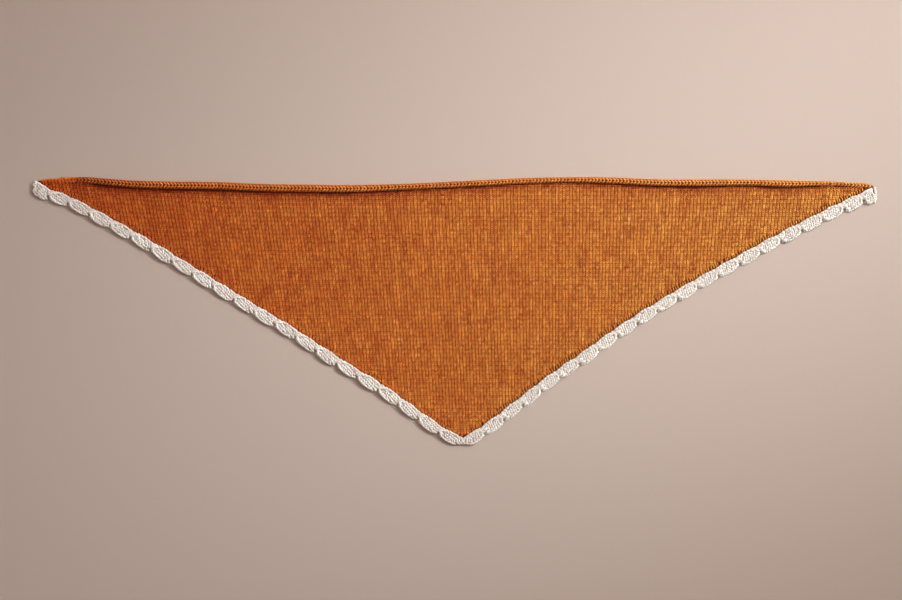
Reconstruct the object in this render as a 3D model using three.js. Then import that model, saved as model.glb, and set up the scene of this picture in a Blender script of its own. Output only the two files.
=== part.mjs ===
// A triangular knitted bandana laid out flat, right side up.
//
// It has four pieces: a stockinette panel, a knitted cord along the long top edge, and a
// scalloped edging along each of the two lower sides. Everything rests on the plane z = 0.
// X runs along the long edge, Y from the point at the bottom towards the cord, and Z up.
// The origin is the middle of the underside, within a millimetre. All sizes are in millimetres.
import * as THREE from "three";

// Thicknesses of the knitted walls, and the space left between pieces at a seam.
const PANEL_THICK = 2.2;
const PANEL_RIM_THICK = 1.6;
const PANEL_RIM_WIDTH = 4;
const SEAM_GAP = 0.3;

// The cord is wider than it is tall, and its lowest tenth is pressed flat by the surface.
const CORD_TALL_SHARE = 0.68;
const CORD_PRESSED_SHARE = 0.1;
const CORD_SIDES = 10;
const CORD_STEP = 11;

// Upper outline of the cord, from the left tip to the right tip, and how wide the cord is.
const CORD_EDGE = [
  { x: -480.2, y: 150.0, wide: 1.7 },
  { x: -476.0, y: 151.3, wide: 2.9 },
  { x: -463.1, y: 152.3, wide: 4.1 },
  { x: -447.0, y: 154.0, wide: 5.8 },
  { x: -426.3, y: 154.9, wide: 7.1 },
  { x: -401.0, y: 153.1, wide: 8.0 },
  { x: -375.7, y: 151.1, wide: 8.3 },
  { x: -325.1, y: 149.6, wide: 8.6 },
  { x: -274.5, y: 149.0, wide: 8.6 },
  { x: -223.9, y: 146.9, wide: 8.6 },
  { x: -173.3, y: 146.1, wide: 8.5 },
  { x: -122.7, y: 145.5, wide: 8.4 },
  { x: -72.1, y: 146.6, wide: 7.4 },
  { x: -21.5, y: 148.6, wide: 6.9 },
  { x: 29.1, y: 151.1, wide: 6.7 },
  { x: 79.7, y: 153.5, wide: 6.4 },
  { x: 130.3, y: 154.6, wide: 6.0 },
  { x: 180.9, y: 154.2, wide: 7.0 },
  { x: 231.5, y: 152.1, wide: 7.5 },
  { x: 282.1, y: 152.0, wide: 8.0 },
  { x: 332.7, y: 151.9, wide: 6.9 },
  { x: 383.3, y: 150.8, wide: 7.4 },
  { x: 408.6, y: 150.1, wide: 5.8 },
  { x: 433.9, y: 149.5, wide: 4.7 },
  { x: 459.2, y: 147.9, wide: 4.8 },
  { x: 474.0, y: 146.7, wide: 4.4 },
  { x: 481.3, y: 144.6, wide: 2.4 },
];

// Seam lines between the panel and its edging, from the left tip to the point, and on to the
// right tip.
const LEFT_SEAM = [
  { x: -480.8, y: 148.9 },
  { x: -467.7, y: 140.6 },
  { x: -449.3, y: 134.1 },
  { x: -407.9, y: 113.2 },
  { x: -352.7, y: 82.1 },
  { x: -297.5, y: 48.6 },
  { x: -242.3, y: 14.5 },
  { x: -187.1, y: -18.9 },
  { x: -131.9, y: -54.7 },
  { x: -76.7, y: -89.5 },
  { x: -35.3, y: -119.0 },
  { x: -7.7, y: -137.7 },
  { x: 9.1, y: -145.8 },
];
const RIGHT_SEAM = [
  { x: 9.1, y: -145.8 },
  { x: 19.9, y: -139.6 },
  { x: 47.5, y: -120.6 },
  { x: 75.1, y: -99.1 },
  { x: 102.7, y: -77.9 },
  { x: 144.1, y: -49.2 },
  { x: 185.5, y: -19.5 },
  { x: 226.9, y: 7.0 },
  { x: 268.3, y: 31.6 },
  { x: 309.7, y: 54.7 },
  { x: 351.1, y: 77.6 },
  { x: 392.5, y: 99.4 },
  { x: 433.9, y: 120.1 },
  { x: 461.5, y: 133.0 },
  { x: 478.2, y: 141.0 },
];
const POINT_X = 9.1;

// Soft swells in the panel. Each runs along a straight line through (x, y) that leans away
// from the Y axis by lean degrees, and fades out over its length and its half width.
const SWELLS = [
  { x: 139, y: 14, lean: -4, long: 62, half: 15, high: 1.1 },
  { x: 205, y: 112, lean: 14, long: 34, half: 13, high: 0.7 },
  { x: 63, y: -78, lean: 0, long: 26, half: 12, high: 0.8 },
  { x: -212, y: 78, lean: 38, long: 60, half: 18, high: 0.6 },
  { x: -330, y: 112, lean: 20, long: 30, half: 14, high: 0.5 },
  { x: -60, y: -20, lean: 25, long: 50, half: 20, high: 0.4 },
  { x: 20, y: 88, lean: 8, long: 44, half: 16, high: 0.4 },
];

// The edging: where the first pinch lies along its seam, how far apart the pinches are, how
// much the early ones crowd together, and how far the one beside the side tip is pulled along
// the seam. flatness says how level a scallop runs between its pinches, where 2 is a round
// arc. pinch is the depth from the seam at a pinch, and full the depth between two, beside
// the garment's side tip and beside its point, and at the scallop on the tip itself.
// side and point are the depths where the edging ends, and fan turns its last sections round
// the side tip, by degrees from the seam's normal.
const SCALLOPS = 21;
const LEFT_EDGING = {
  first: 15.6,
  pitch: 27.85,
  crowd: -3.0,
  pulled: 3.4,
  flatness: 4,
  pinch: 8.8,
  full: { side: 12.2, point: 12.0, last: 12.8 },
  side: 9.8,
  point: 6.4,
  fan: [
    { turn: 21, deep: 7.2 },
    { turn: 52, deep: 4.0 },
    { turn: 84, deep: 1.9 },
  ],
};
const RIGHT_EDGING = {
  first: 23.4,
  pitch: 27.19,
  crowd: -0.6,
  pulled: -2.7,
  flatness: 2.8,
  pinch: 8.7,
  full: { side: 13.0, point: 12.4, last: 15.6 },
  side: 14.6,
  point: 6.4,
  fan: [
    { turn: 5, deep: 13.4 },
    { turn: 21, deep: 9.8 },
    { turn: 46, deep: 6.4 },
    { turn: 62, deep: 4.6 },
  ],
};
const EDGING_THICK = 3.4;
const EDGING_PINCH_THICK = 2.8;

// Where a scallop's sections lie between its pinches, how much deeper it is towards the
// garment's point, how slowly the scallop beside the point closes there, how the depths vary
// from one scallop to the next, and how far from the point the sections start to turn.
const SCALLOP_STEPS = [0, 0.06, 0.2, 0.4, 0.6, 0.8, 0.94];
const SCALLOP_SKEW = 0.07;
const POINT_SLOWNESS = 3;
const SCALLOP_UNEVEN = { share: 0.035, wave: 2.4 };
const MITRE_RUN = 24;

// Section of the edging: out is the share of its depth from the seam, up the share of its
// thickness.
const EDGING_SECTION = [
  { out: 0.1, up: 0 },
  { out: 0.9, up: 0 },
  { out: 1, up: 0.42 },
  { out: 0.86, up: 0.86 },
  { out: 0.55, up: 1 },
  { out: 0.2, up: 0.94 },
  { out: 0, up: 0.45 },
];

// Steps of the sections along the long edge and along a seam. The panel starts and ends where
// it is high enough for a section, and each section has as many points on its outer side as
// there are rows.
const SEAM_STEP = 1;
const PANEL_STEP = 12;
const PANEL_LEAST_STEP = 2;
const PANEL_LEAST_HEIGHT = 1.5;
const PANEL_RIM_SHARE = 0.25;
const PANEL_ROWS = 8;

const RUST = new THREE.MeshStandardMaterial({ color: 0xbc6124, roughness: 0.92, metalness: 0 });
const CREAM = new THREE.MeshStandardMaterial({ color: 0xe3d9cf, roughness: 0.9, metalness: 0 });

// Value of one column of a table at x, on a smooth curve through its rows. The slope at a row
// is the mean of the slopes on its two sides, each weighted by the other side's length.
function smooth(table, column, x) {
  const last = table.length - 1;
  const slope = (i) => (table[i + 1][column] - table[i][column]) / (table[i + 1].x - table[i].x);
  const tangent = (i) => {
    if (i === 0) return slope(0);
    if (i === last) return slope(last - 1);
    const before = table[i].x - table[i - 1].x;
    const after = table[i + 1].x - table[i].x;
    return (slope(i - 1) * after + slope(i) * before) / (before + after);
  };
  let i = 0;
  while (i < last - 1 && x > table[i + 1].x) i += 1;
  const run = table[i + 1].x - table[i].x;
  const t = (x - table[i].x) / run;
  const t2 = t * t;
  const t3 = t2 * t;
  return (
    (2 * t3 - 3 * t2 + 1) * table[i][column] +
    (t3 - 2 * t2 + t) * run * tangent(i) +
    (3 * t2 - 2 * t3) * table[i + 1][column] +
    (t3 - t2) * run * tangent(i + 1)
  );
}

// Height of the panel's soft swells at (x, y).
function swell(x, y) {
  return SWELLS.reduce((sum, s) => {
    const lean = THREE.MathUtils.degToRad(s.lean);
    const dx = x - s.x;
    const dy = y - s.y;
    const along = dx * Math.sin(lean) + dy * Math.cos(lean);
    const across = dx * Math.cos(lean) - dy * Math.sin(lean);
    return sum + s.high * Math.exp(-((along / s.long) ** 2) - (across / s.half) ** 2);
  }, 0);
}

// A closed skin over sections of the same number of points, with a flat cap on the first and
// on the last. Its faces are turned outwards.
function skin(sections) {
  const size = sections[0].length;
  const points = sections.flat();
  const faces = [];
  for (let s = 0; s + 1 < sections.length; s += 1) {
    for (let i = 0; i < size; i += 1) {
      const a = s * size + i;
      const b = s * size + ((i + 1) % size);
      faces.push(a, b, a + size, b, b + size, a + size);
    }
  }
  for (const [section, start, flip] of [
    [sections[0], 0, true],
    [sections[sections.length - 1], (sections.length - 1) * size, false],
  ]) {
    const middle = section.reduce((sum, p) => sum.add(p), new THREE.Vector3());
    points.push(middle.divideScalar(size));
    for (let i = 0; i < size; i += 1) {
      const a = start + i;
      const b = start + ((i + 1) % size);
      faces.push(points.length - 1, flip ? b : a, flip ? a : b);
    }
  }
  let volume = 0;
  for (let i = 0; i < faces.length; i += 3) {
    const [a, b, c] = faces.slice(i, i + 3).map((k) => points[k]);
    volume += a.dot(new THREE.Vector3().crossVectors(b, c));
  }
  if (volume < 0) faces.reverse();
  const geometry = new THREE.BufferGeometry().setFromPoints(points);
  geometry.setIndex(faces);
  geometry.computeVertexNormals();
  return geometry;
}

// Evenly spaced values from a to b, with both ends: so many, or no further apart than step.
function evenly(a, b, count) {
  return Array.from({ length: count }, (_, i) => a + ((b - a) * i) / (count - 1));
}
function spread(a, b, step) {
  return evenly(a, b, Math.ceil((b - a) / step) + 1);
}

// The panel's upper and lower edges at x.
function panelTop(x) {
  return smooth(CORD_EDGE, "y", x) - smooth(CORD_EDGE, "wide", x) - SEAM_GAP;
}
function panelBottom(x) {
  return smooth(x < POINT_X ? LEFT_SEAM : RIGHT_SEAM, "y", x);
}

// The panel: sections across its depth, one for each step along the long edge. The outer
// surface follows the swells and thins a little towards the edges, and the underside is flat.
function panel() {
  const start = LEFT_SEAM[0].x;
  const end = RIGHT_SEAM[RIGHT_SEAM.length - 1].x;
  const leftHalf = spread(start, POINT_X, PANEL_STEP);
  const rightHalf = spread(POINT_X, end, PANEL_STEP).slice(1);
  const high = spread(start, end, SEAM_STEP).filter(
    (x) => panelTop(x) - panelBottom(x) >= PANEL_LEAST_HEIGHT,
  );
  const first = high[0];
  const last = high[high.length - 1];
  const between = [...leftHalf, ...rightHalf].filter(
    (x) => x > first + PANEL_LEAST_STEP && x < last - PANEL_LEAST_STEP,
  );
  return skin(
    [first, ...between, last].map((x) => {
      const top = panelTop(x);
      const bottom = panelBottom(x);
      const rim = Math.min(PANEL_RIM_WIDTH, (top - bottom) * PANEL_RIM_SHARE);
      const across = [bottom, ...evenly(bottom + rim, top - rim, PANEL_ROWS - 2), top];
      const outer = across.map((y, i) => {
        const edge = i === 0 || i === PANEL_ROWS - 1;
        return new THREE.Vector3(x, y, edge ? PANEL_RIM_THICK : PANEL_THICK + swell(x, y));
      });
      const under = across.map((y) => new THREE.Vector3(x, y, 0)).reverse();
      return [...outer, ...under];
    }),
  );
}

// The cord: rounded sections that stand on the surface, one for each step along the top edge.
function cord() {
  const xs = spread(CORD_EDGE[0].x, CORD_EDGE[CORD_EDGE.length - 1].x, CORD_STEP);
  return skin(
    xs.map((x) => {
      const half = smooth(CORD_EDGE, "wide", x) / 2;
      const middle = smooth(CORD_EDGE, "y", x) - half;
      const tall = 2 * half * CORD_TALL_SHARE;
      const radius = (tall * (1 + CORD_PRESSED_SHARE)) / 2;
      return Array.from({ length: CORD_SIDES }, (_, i) => {
        const angle = ((i + 0.5) / CORD_SIDES) * 2 * Math.PI;
        const z = tall - radius + radius * Math.sin(angle);
        return new THREE.Vector3(x, middle + half * Math.cos(angle), Math.max(0, z));
      });
    }),
  );
}

// A seam as a line of short steps, with the distance along it at each.
function seamLine(table) {
  let far = 0;
  let before = null;
  return spread(table[0].x, table[table.length - 1].x, SEAM_STEP).map((x) => {
    const at = new THREE.Vector2(x, smooth(table, "y", x));
    if (before) far += at.distanceTo(before);
    before = at;
    return { at, far };
  });
}

// The place on a seam line at a distance along it, and the direction of its outward normal.
function seamAt(line, far) {
  let i = 0;
  while (i < line.length - 2 && line[i + 1].far < far) i += 1;
  const t = (far - line[i].far) / (line[i + 1].far - line[i].far);
  const run = line[i + 1].at.clone().sub(line[i].at).normalize();
  return { at: line[i].at.clone().lerp(line[i + 1].at, t), out: new THREE.Vector2(run.y, -run.x) };
}

// Distances along the seam at which the scallops begin and end. The crowding is a half wave
// along the seam, and the pinch beside the side tip is pulled along it.
function pinches(edging, length, tipFirst) {
  const last = SCALLOPS - 2;
  const inner = Array.from({ length: SCALLOPS - 1 }, (_, i) => {
    const crowded = edging.crowd * Math.sin((Math.PI * i) / last);
    const beside = i === (tipFirst ? 0 : last);
    return edging.first + edging.pitch * i + crowded + (beside ? edging.pulled : 0);
  });
  return [0, ...inner, length];
}

// Depth and thickness of one side's edging at share u of scallop k. Each scallop swells
// quickly from its pinch, runs nearly level, and closes quickly. It is a little deeper at the
// end nearer the garment's point, where the last one closes slowly. fromSide counts the
// scallops from the side tip.
function scallop(edging, k, u, tipFirst) {
  const fromSide = tipFirst ? k : SCALLOPS - 1 - k;
  const along = tipFirst ? u : 1 - u;
  const swelling = Math.sqrt(1 - Math.abs(2 * u - 1) ** edging.flatness);
  const run = fromSide / (SCALLOPS - 1);
  const usual = edging.full.side + (edging.full.point - edging.full.side) * run;
  const uneven = 1 + SCALLOP_UNEVEN.share * Math.sin(SCALLOP_UNEVEN.wave * k);
  const full = fromSide === 0 ? edging.full.last : usual * uneven;
  const atSide = fromSide === 0 && along < 0.5;
  const atPoint = fromSide === SCALLOPS - 1 && along > 0.5;
  let rest = edging.pinch;
  if (atSide) rest = edging.side;
  if (atPoint) rest = edging.point;
  const skew = 1 + SCALLOP_SKEW * (2 * along - 1) * swelling;
  const share = atPoint ? swelling ** POINT_SLOWNESS : swelling;
  return {
    deep: (rest + (full - rest) * share) * skew,
    thick: EDGING_PINCH_THICK + (EDGING_THICK - EDGING_PINCH_THICK) * swelling,
  };
}

// One side's edging, as sections along its seam. tipFirst says that the seam starts at the
// garment's side tip. Towards the garment's point the sections turn until they meet the other
// side's edging.
function edge(table, edging, tipFirst) {
  const line = seamLine(table);
  const length = line[line.length - 1].far;
  const bounds = pinches(edging, length, tipFirst);
  const stations = [];
  for (let k = 0; k < SCALLOPS; k += 1) {
    const steps = k === SCALLOPS - 1 ? [...SCALLOP_STEPS, 1] : SCALLOP_STEPS;
    for (const u of steps) {
      const far = bounds[k] + u * (bounds[k + 1] - bounds[k]);
      stations.push({ far, turn: 0, ...scallop(edging, k, u, tipFirst) });
    }
  }
  const fan = edging.fan.map(({ turn, deep }) => ({
    far: tipFirst ? 0 : length,
    turn: (tipFirst ? -1 : 1) * THREE.MathUtils.degToRad(turn),
    deep,
    thick: EDGING_PINCH_THICK,
  }));
  const all = tipFirst ? [...fan.reverse(), ...stations] : [...stations, ...fan];
  const point = tipFirst ? length : 0;
  const clear = SEAM_GAP / 2;
  return skin(
    all.map(({ far, deep, thick, turn }) => {
      const { at, out } = seamAt(line, far);
      const mitre = 1 - Math.min(1, Math.abs(far - point) / MITRE_RUN);
      const way = out.clone().lerp(new THREE.Vector2(0, -1), mitre * mitre).normalize();
      const gap = SEAM_GAP / way.dot(out);
      way.rotateAround(new THREE.Vector2(), turn);
      return EDGING_SECTION.map(({ out: share, up }) => {
        const reach = gap + share * (deep - gap);
        const x = at.x + way.x * reach;
        const side = tipFirst ? Math.min(x, POINT_X - clear) : Math.max(x, POINT_X + clear);
        return new THREE.Vector3(side, at.y + way.y * reach, thick * up);
      });
    }),
  );
}

const group = new THREE.Group();
for (const [name, geometry, material] of [
  ["main_panel", panel(), RUST],
  ["top_cord", cord(), RUST],
  ["edging_left", edge(LEFT_SEAM, LEFT_EDGING, true), CREAM],
  ["edging_right", edge(RIGHT_SEAM, RIGHT_EDGING, false), CREAM],
]) {
  const mesh = new THREE.Mesh(geometry, material.clone());
  mesh.name = name;
  group.add(mesh);
}

export default group;
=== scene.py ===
"""Looks of a triangular knitted bandana that lies flat, right side up, on a pale surface.

The knitting is made of real strands. Each strand is a closed spindle of yarn, and each piece of
the bandana is a body of plain cloth with its strands laid on it. Sizes are in millimetres, in
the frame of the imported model: X along the corded edge, Y from the point towards that edge, and
Z up from the surface. A mesh is made in metres.
"""

import logging
from dataclasses import dataclass, replace
from enum import Enum

import bpy
import numpy as np
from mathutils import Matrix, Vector


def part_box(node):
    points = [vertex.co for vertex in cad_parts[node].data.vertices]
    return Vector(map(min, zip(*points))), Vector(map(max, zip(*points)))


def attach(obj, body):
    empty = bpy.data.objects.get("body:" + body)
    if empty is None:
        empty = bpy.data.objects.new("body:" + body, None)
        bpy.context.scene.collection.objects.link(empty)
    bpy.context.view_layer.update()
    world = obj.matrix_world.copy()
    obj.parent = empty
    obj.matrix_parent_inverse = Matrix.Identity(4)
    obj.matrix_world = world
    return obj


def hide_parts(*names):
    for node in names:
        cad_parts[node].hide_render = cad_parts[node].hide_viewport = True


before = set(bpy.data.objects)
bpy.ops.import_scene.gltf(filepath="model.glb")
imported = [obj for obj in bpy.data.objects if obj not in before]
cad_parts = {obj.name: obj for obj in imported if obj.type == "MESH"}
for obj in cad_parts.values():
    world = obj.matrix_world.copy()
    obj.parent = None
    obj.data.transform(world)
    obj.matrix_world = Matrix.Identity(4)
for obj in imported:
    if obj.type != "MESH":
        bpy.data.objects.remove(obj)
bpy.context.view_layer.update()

Grid = np.ndarray
Random = np.random.Generator
Colour = tuple[float, float, float]
Values = dict[str, Grid]
Mesh = tuple[Grid, Grid, Values]
Socket = bpy.types.NodeSocket
Setting = Socket | float | tuple[float, ...]

log = logging.getLogger("bandana")

MM = 0.001
SEED = 1207


class Side(Enum):
    """The two lower sides of the triangle, as seen from above."""

    LEFT = "left"
    RIGHT = "right"

    @property
    def run(self) -> int:
        """1 where the seam is measured towards the point, and -1 where it leads away from it."""
        return 1 if self is Side.LEFT else -1


def linear(red: int, green: int, blue: int) -> Colour:
    """A colour given in screen values from 0 to 255, as the light values that shaders use.

    Each value is divided by 255, and raised by the screen's curve: a straight stretch near
    black, and a power of 2.4 above it.

    Args:
        red: Red, from 0 to 255.
        green: Green, from 0 to 255.
        blue: Blue, from 0 to 255.

    Returns:
        The colour in light values, from 0 to 1.
    """
    screen = np.array([red, green, blue]) / 255
    light = np.where(screen <= 0.04045, screen / 12.92, ((screen + 0.055) / 1.055) ** 2.4)
    return tuple(float(value) for value in light)


# Curves and seams


class Curve:
    """A smooth curve through the rows of a short table, whose first column is x."""

    def __init__(self, rows: list[tuple[float, ...]]) -> None:
        """Keeps the table.

        Args:
            rows: The table's rows, in order of x.
        """
        self.rows = np.array(rows, float)

    @property
    def start(self) -> float:
        """The first x."""
        return float(self.rows[0, 0])

    @property
    def end(self) -> float:
        """The last x."""
        return float(self.rows[-1, 0])

    def __call__(self, x: Grid, column: int = 1) -> Grid:
        """The value of a column at x.

        It is a cubic between two rows. The slope at a row is the mean of the slopes on its two
        sides, each weighted by the other side's length.

        Args:
            x: Where the curve is read.
            column: The table's column.

        Returns:
            The values, in the shape of x.
        """
        knots, values = self.rows[:, 0], self.rows[:, column]
        run = np.diff(knots)
        slope = np.diff(values) / run
        inner = (slope[:-1] * run[1:] + slope[1:] * run[:-1]) / (run[:-1] + run[1:])
        tangent = np.concatenate([slope[:1], inner, slope[-1:]])
        i = np.clip(np.searchsorted(knots, x) - 1, 0, len(run) - 1)
        t = (x - knots[i]) / run[i]
        return (
            (2 * t**3 - 3 * t**2 + 1) * values[i]
            + (t**3 - 2 * t**2 + t) * run[i] * tangent[i]
            + (3 * t**2 - 2 * t**3) * values[i + 1]
            + (t**3 - t**2) * run[i] * tangent[i + 1]
        )


class Seam:
    """A seam as a line of short steps, measured along its length."""

    STEP = 1.0

    def __init__(self, curve: Curve) -> None:
        """Measures the curve.

        Args:
            curve: The seam's curve, from its left end to its right end.
        """
        count = int(np.ceil((curve.end - curve.start) / self.STEP)) + 1
        x = np.linspace(curve.start, curve.end, count)
        self.points = np.stack([x, curve(x)], axis=-1)
        steps = np.linalg.norm(np.diff(self.points, axis=0), axis=1)
        self.far = np.concatenate([[0.0], np.cumsum(steps)])
        self.length = float(self.far[-1])

    def at(self, far: Grid) -> Grid:
        """The points at distances along the seam, straight on past its ends.

        Args:
            far: Distances along the seam.

        Returns:
            Points (..., 2).
        """
        held = np.clip(far, 0, self.length)
        on_line = [np.interp(held, self.far, self.points[:, axis]) for axis in (0, 1)]
        return np.stack(on_line, axis=-1) + (far - held)[..., None] * self.along(held)

    def along(self, far: Grid) -> Grid:
        """Unit directions along the seam: from a step before each place to a step past it.

        Args:
            far: Distances along the seam.

        Returns:
            Directions (..., 2).
        """
        near = np.clip(far, self.STEP, self.length - self.STEP)
        ends = [
            np.stack([np.interp(near + d, self.far, self.points[:, axis]) for axis in (0, 1)], -1)
            for d in (-self.STEP, self.STEP)
        ]
        run = ends[1] - ends[0]
        return run / np.linalg.norm(run, axis=-1, keepdims=True)

    def out(self, far: Grid) -> Grid:
        """Unit directions out of the garment, square to the seam."""
        run = self.along(far)
        return np.stack([run[..., 1], -run[..., 0]], axis=-1)

    def nearest(self, points: Grid) -> tuple[Grid, Grid]:
        """How far points lie inside the seam, and where along it.

        The distance is read from the seam's height at the point's x, turned by its slope there.

        Args:
            points: Points (..., 2).

        Returns:
            The distance inwards, and the distance along the seam.
        """
        far = np.interp(points[..., 0], self.points[:, 0], self.far)
        drop = points[..., 1] - np.interp(points[..., 0], self.points[:, 0], self.points[:, 1])
        run = self.along(far)
        return drop * run[..., 0], far + drop * run[..., 1]


# The cord's upper outline: x, y, and the cord's width.
CORD_EDGE = Curve(
    [
        (-480.2, 150.0, 1.7),
        (-476.0, 151.3, 2.9),
        (-463.1, 152.3, 4.1),
        (-447.0, 154.0, 5.8),
        (-426.3, 154.9, 7.1),
        (-401.0, 153.1, 8.0),
        (-375.7, 151.1, 8.3),
        (-325.1, 149.6, 8.6),
        (-274.5, 149.0, 8.6),
        (-223.9, 146.9, 8.6),
        (-173.3, 146.1, 8.5),
        (-122.7, 145.5, 8.4),
        (-72.1, 146.6, 7.4),
        (-21.5, 148.6, 6.9),
        (29.1, 151.1, 6.7),
        (79.7, 153.5, 6.4),
        (130.3, 154.6, 6.0),
        (180.9, 154.2, 7.0),
        (231.5, 152.1, 7.5),
        (282.1, 152.0, 8.0),
        (332.7, 151.9, 6.9),
        (383.3, 150.8, 7.4),
        (408.6, 150.1, 5.8),
        (433.9, 149.5, 4.7),
        (459.2, 147.9, 4.8),
        (474.0, 146.7, 4.4),
        (481.3, 144.6, 2.4),
    ]
)
POINT_X = 9.1
LEFT_SEAM = Curve(
    [
        (-480.8, 148.9),
        (-467.7, 140.6),
        (-449.3, 134.1),
        (-407.9, 113.2),
        (-352.7, 82.1),
        (-297.5, 48.6),
        (-242.3, 14.5),
        (-187.1, -18.9),
        (-131.9, -54.7),
        (-76.7, -89.5),
        (-35.3, -119.0),
        (-7.7, -137.7),
        (POINT_X, -145.8),
    ]
)
RIGHT_SEAM = Curve(
    [
        (POINT_X, -145.8),
        (19.9, -139.6),
        (47.5, -120.6),
        (75.1, -99.1),
        (102.7, -77.9),
        (144.1, -49.2),
        (185.5, -19.5),
        (226.9, 7.0),
        (268.3, 31.6),
        (309.7, 54.7),
        (351.1, 77.6),
        (392.5, 99.4),
        (433.9, 120.1),
        (461.5, 133.0),
        (478.2, 141.0),
    ]
)
SEAMS = {Side.LEFT: Seam(LEFT_SEAM), Side.RIGHT: Seam(RIGHT_SEAM)}
SEAM_GAP = 0.3


@dataclass(frozen=True)
class Swell:
    """A soft swell of the panel, with its middle, and its length, half width and height. It runs
    along a line that leans away from Y by so many degrees."""

    x: float
    y: float
    lean: float
    long: float
    half: float
    high: float

    def height(self, x: Grid, y: Grid) -> Grid:
        """Height at points: it fades as a bell curve along the line and across it.

        Args:
            x: The points' x.
            y: The points' y.

        Returns:
            Heights.
        """
        lean = np.radians(self.lean)
        dx, dy = x - self.x, y - self.y
        along = dx * np.sin(lean) + dy * np.cos(lean)
        across = dx * np.cos(lean) - dy * np.sin(lean)
        return self.high * np.exp(-((along / self.long) ** 2) - (across / self.half) ** 2)


SWELLS = (
    Swell(139, 14, -4, 62, 15, 1.1),
    Swell(205, 112, 14, 34, 13, 0.7),
    Swell(63, -78, 0, 26, 12, 0.8),
    Swell(-212, 78, 38, 60, 18, 0.6),
    Swell(-330, 112, 20, 30, 14, 0.5),
    Swell(-60, -20, 25, 50, 20, 0.4),
    Swell(20, 88, 8, 44, 16, 0.4),
)


def swell(x: Grid, y: Grid) -> Grid:
    """Height of all the panel's swells together."""
    return sum(each.height(x, y) for each in SWELLS)


# Meshes


def outward(points: Grid, faces: Grid) -> Grid:
    """Faces turned to point out of the solid.

    The sum of each face's triple product with the origin is six times the volume that they
    enclose. Where it is negative, every face is turned round.

    Args:
        points: Points (n, 3).
        faces: Faces (m, 4), where a triangle repeats its last corner.

    Returns:
        The faces, all turned the same way.
    """
    a, b, c, d = (points[faces[:, i]] for i in range(4))
    volume = (a * np.cross(b, c)).sum() + (a * np.cross(c, d)).sum()
    return faces if volume > 0 else faces[:, ::-1]


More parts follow.
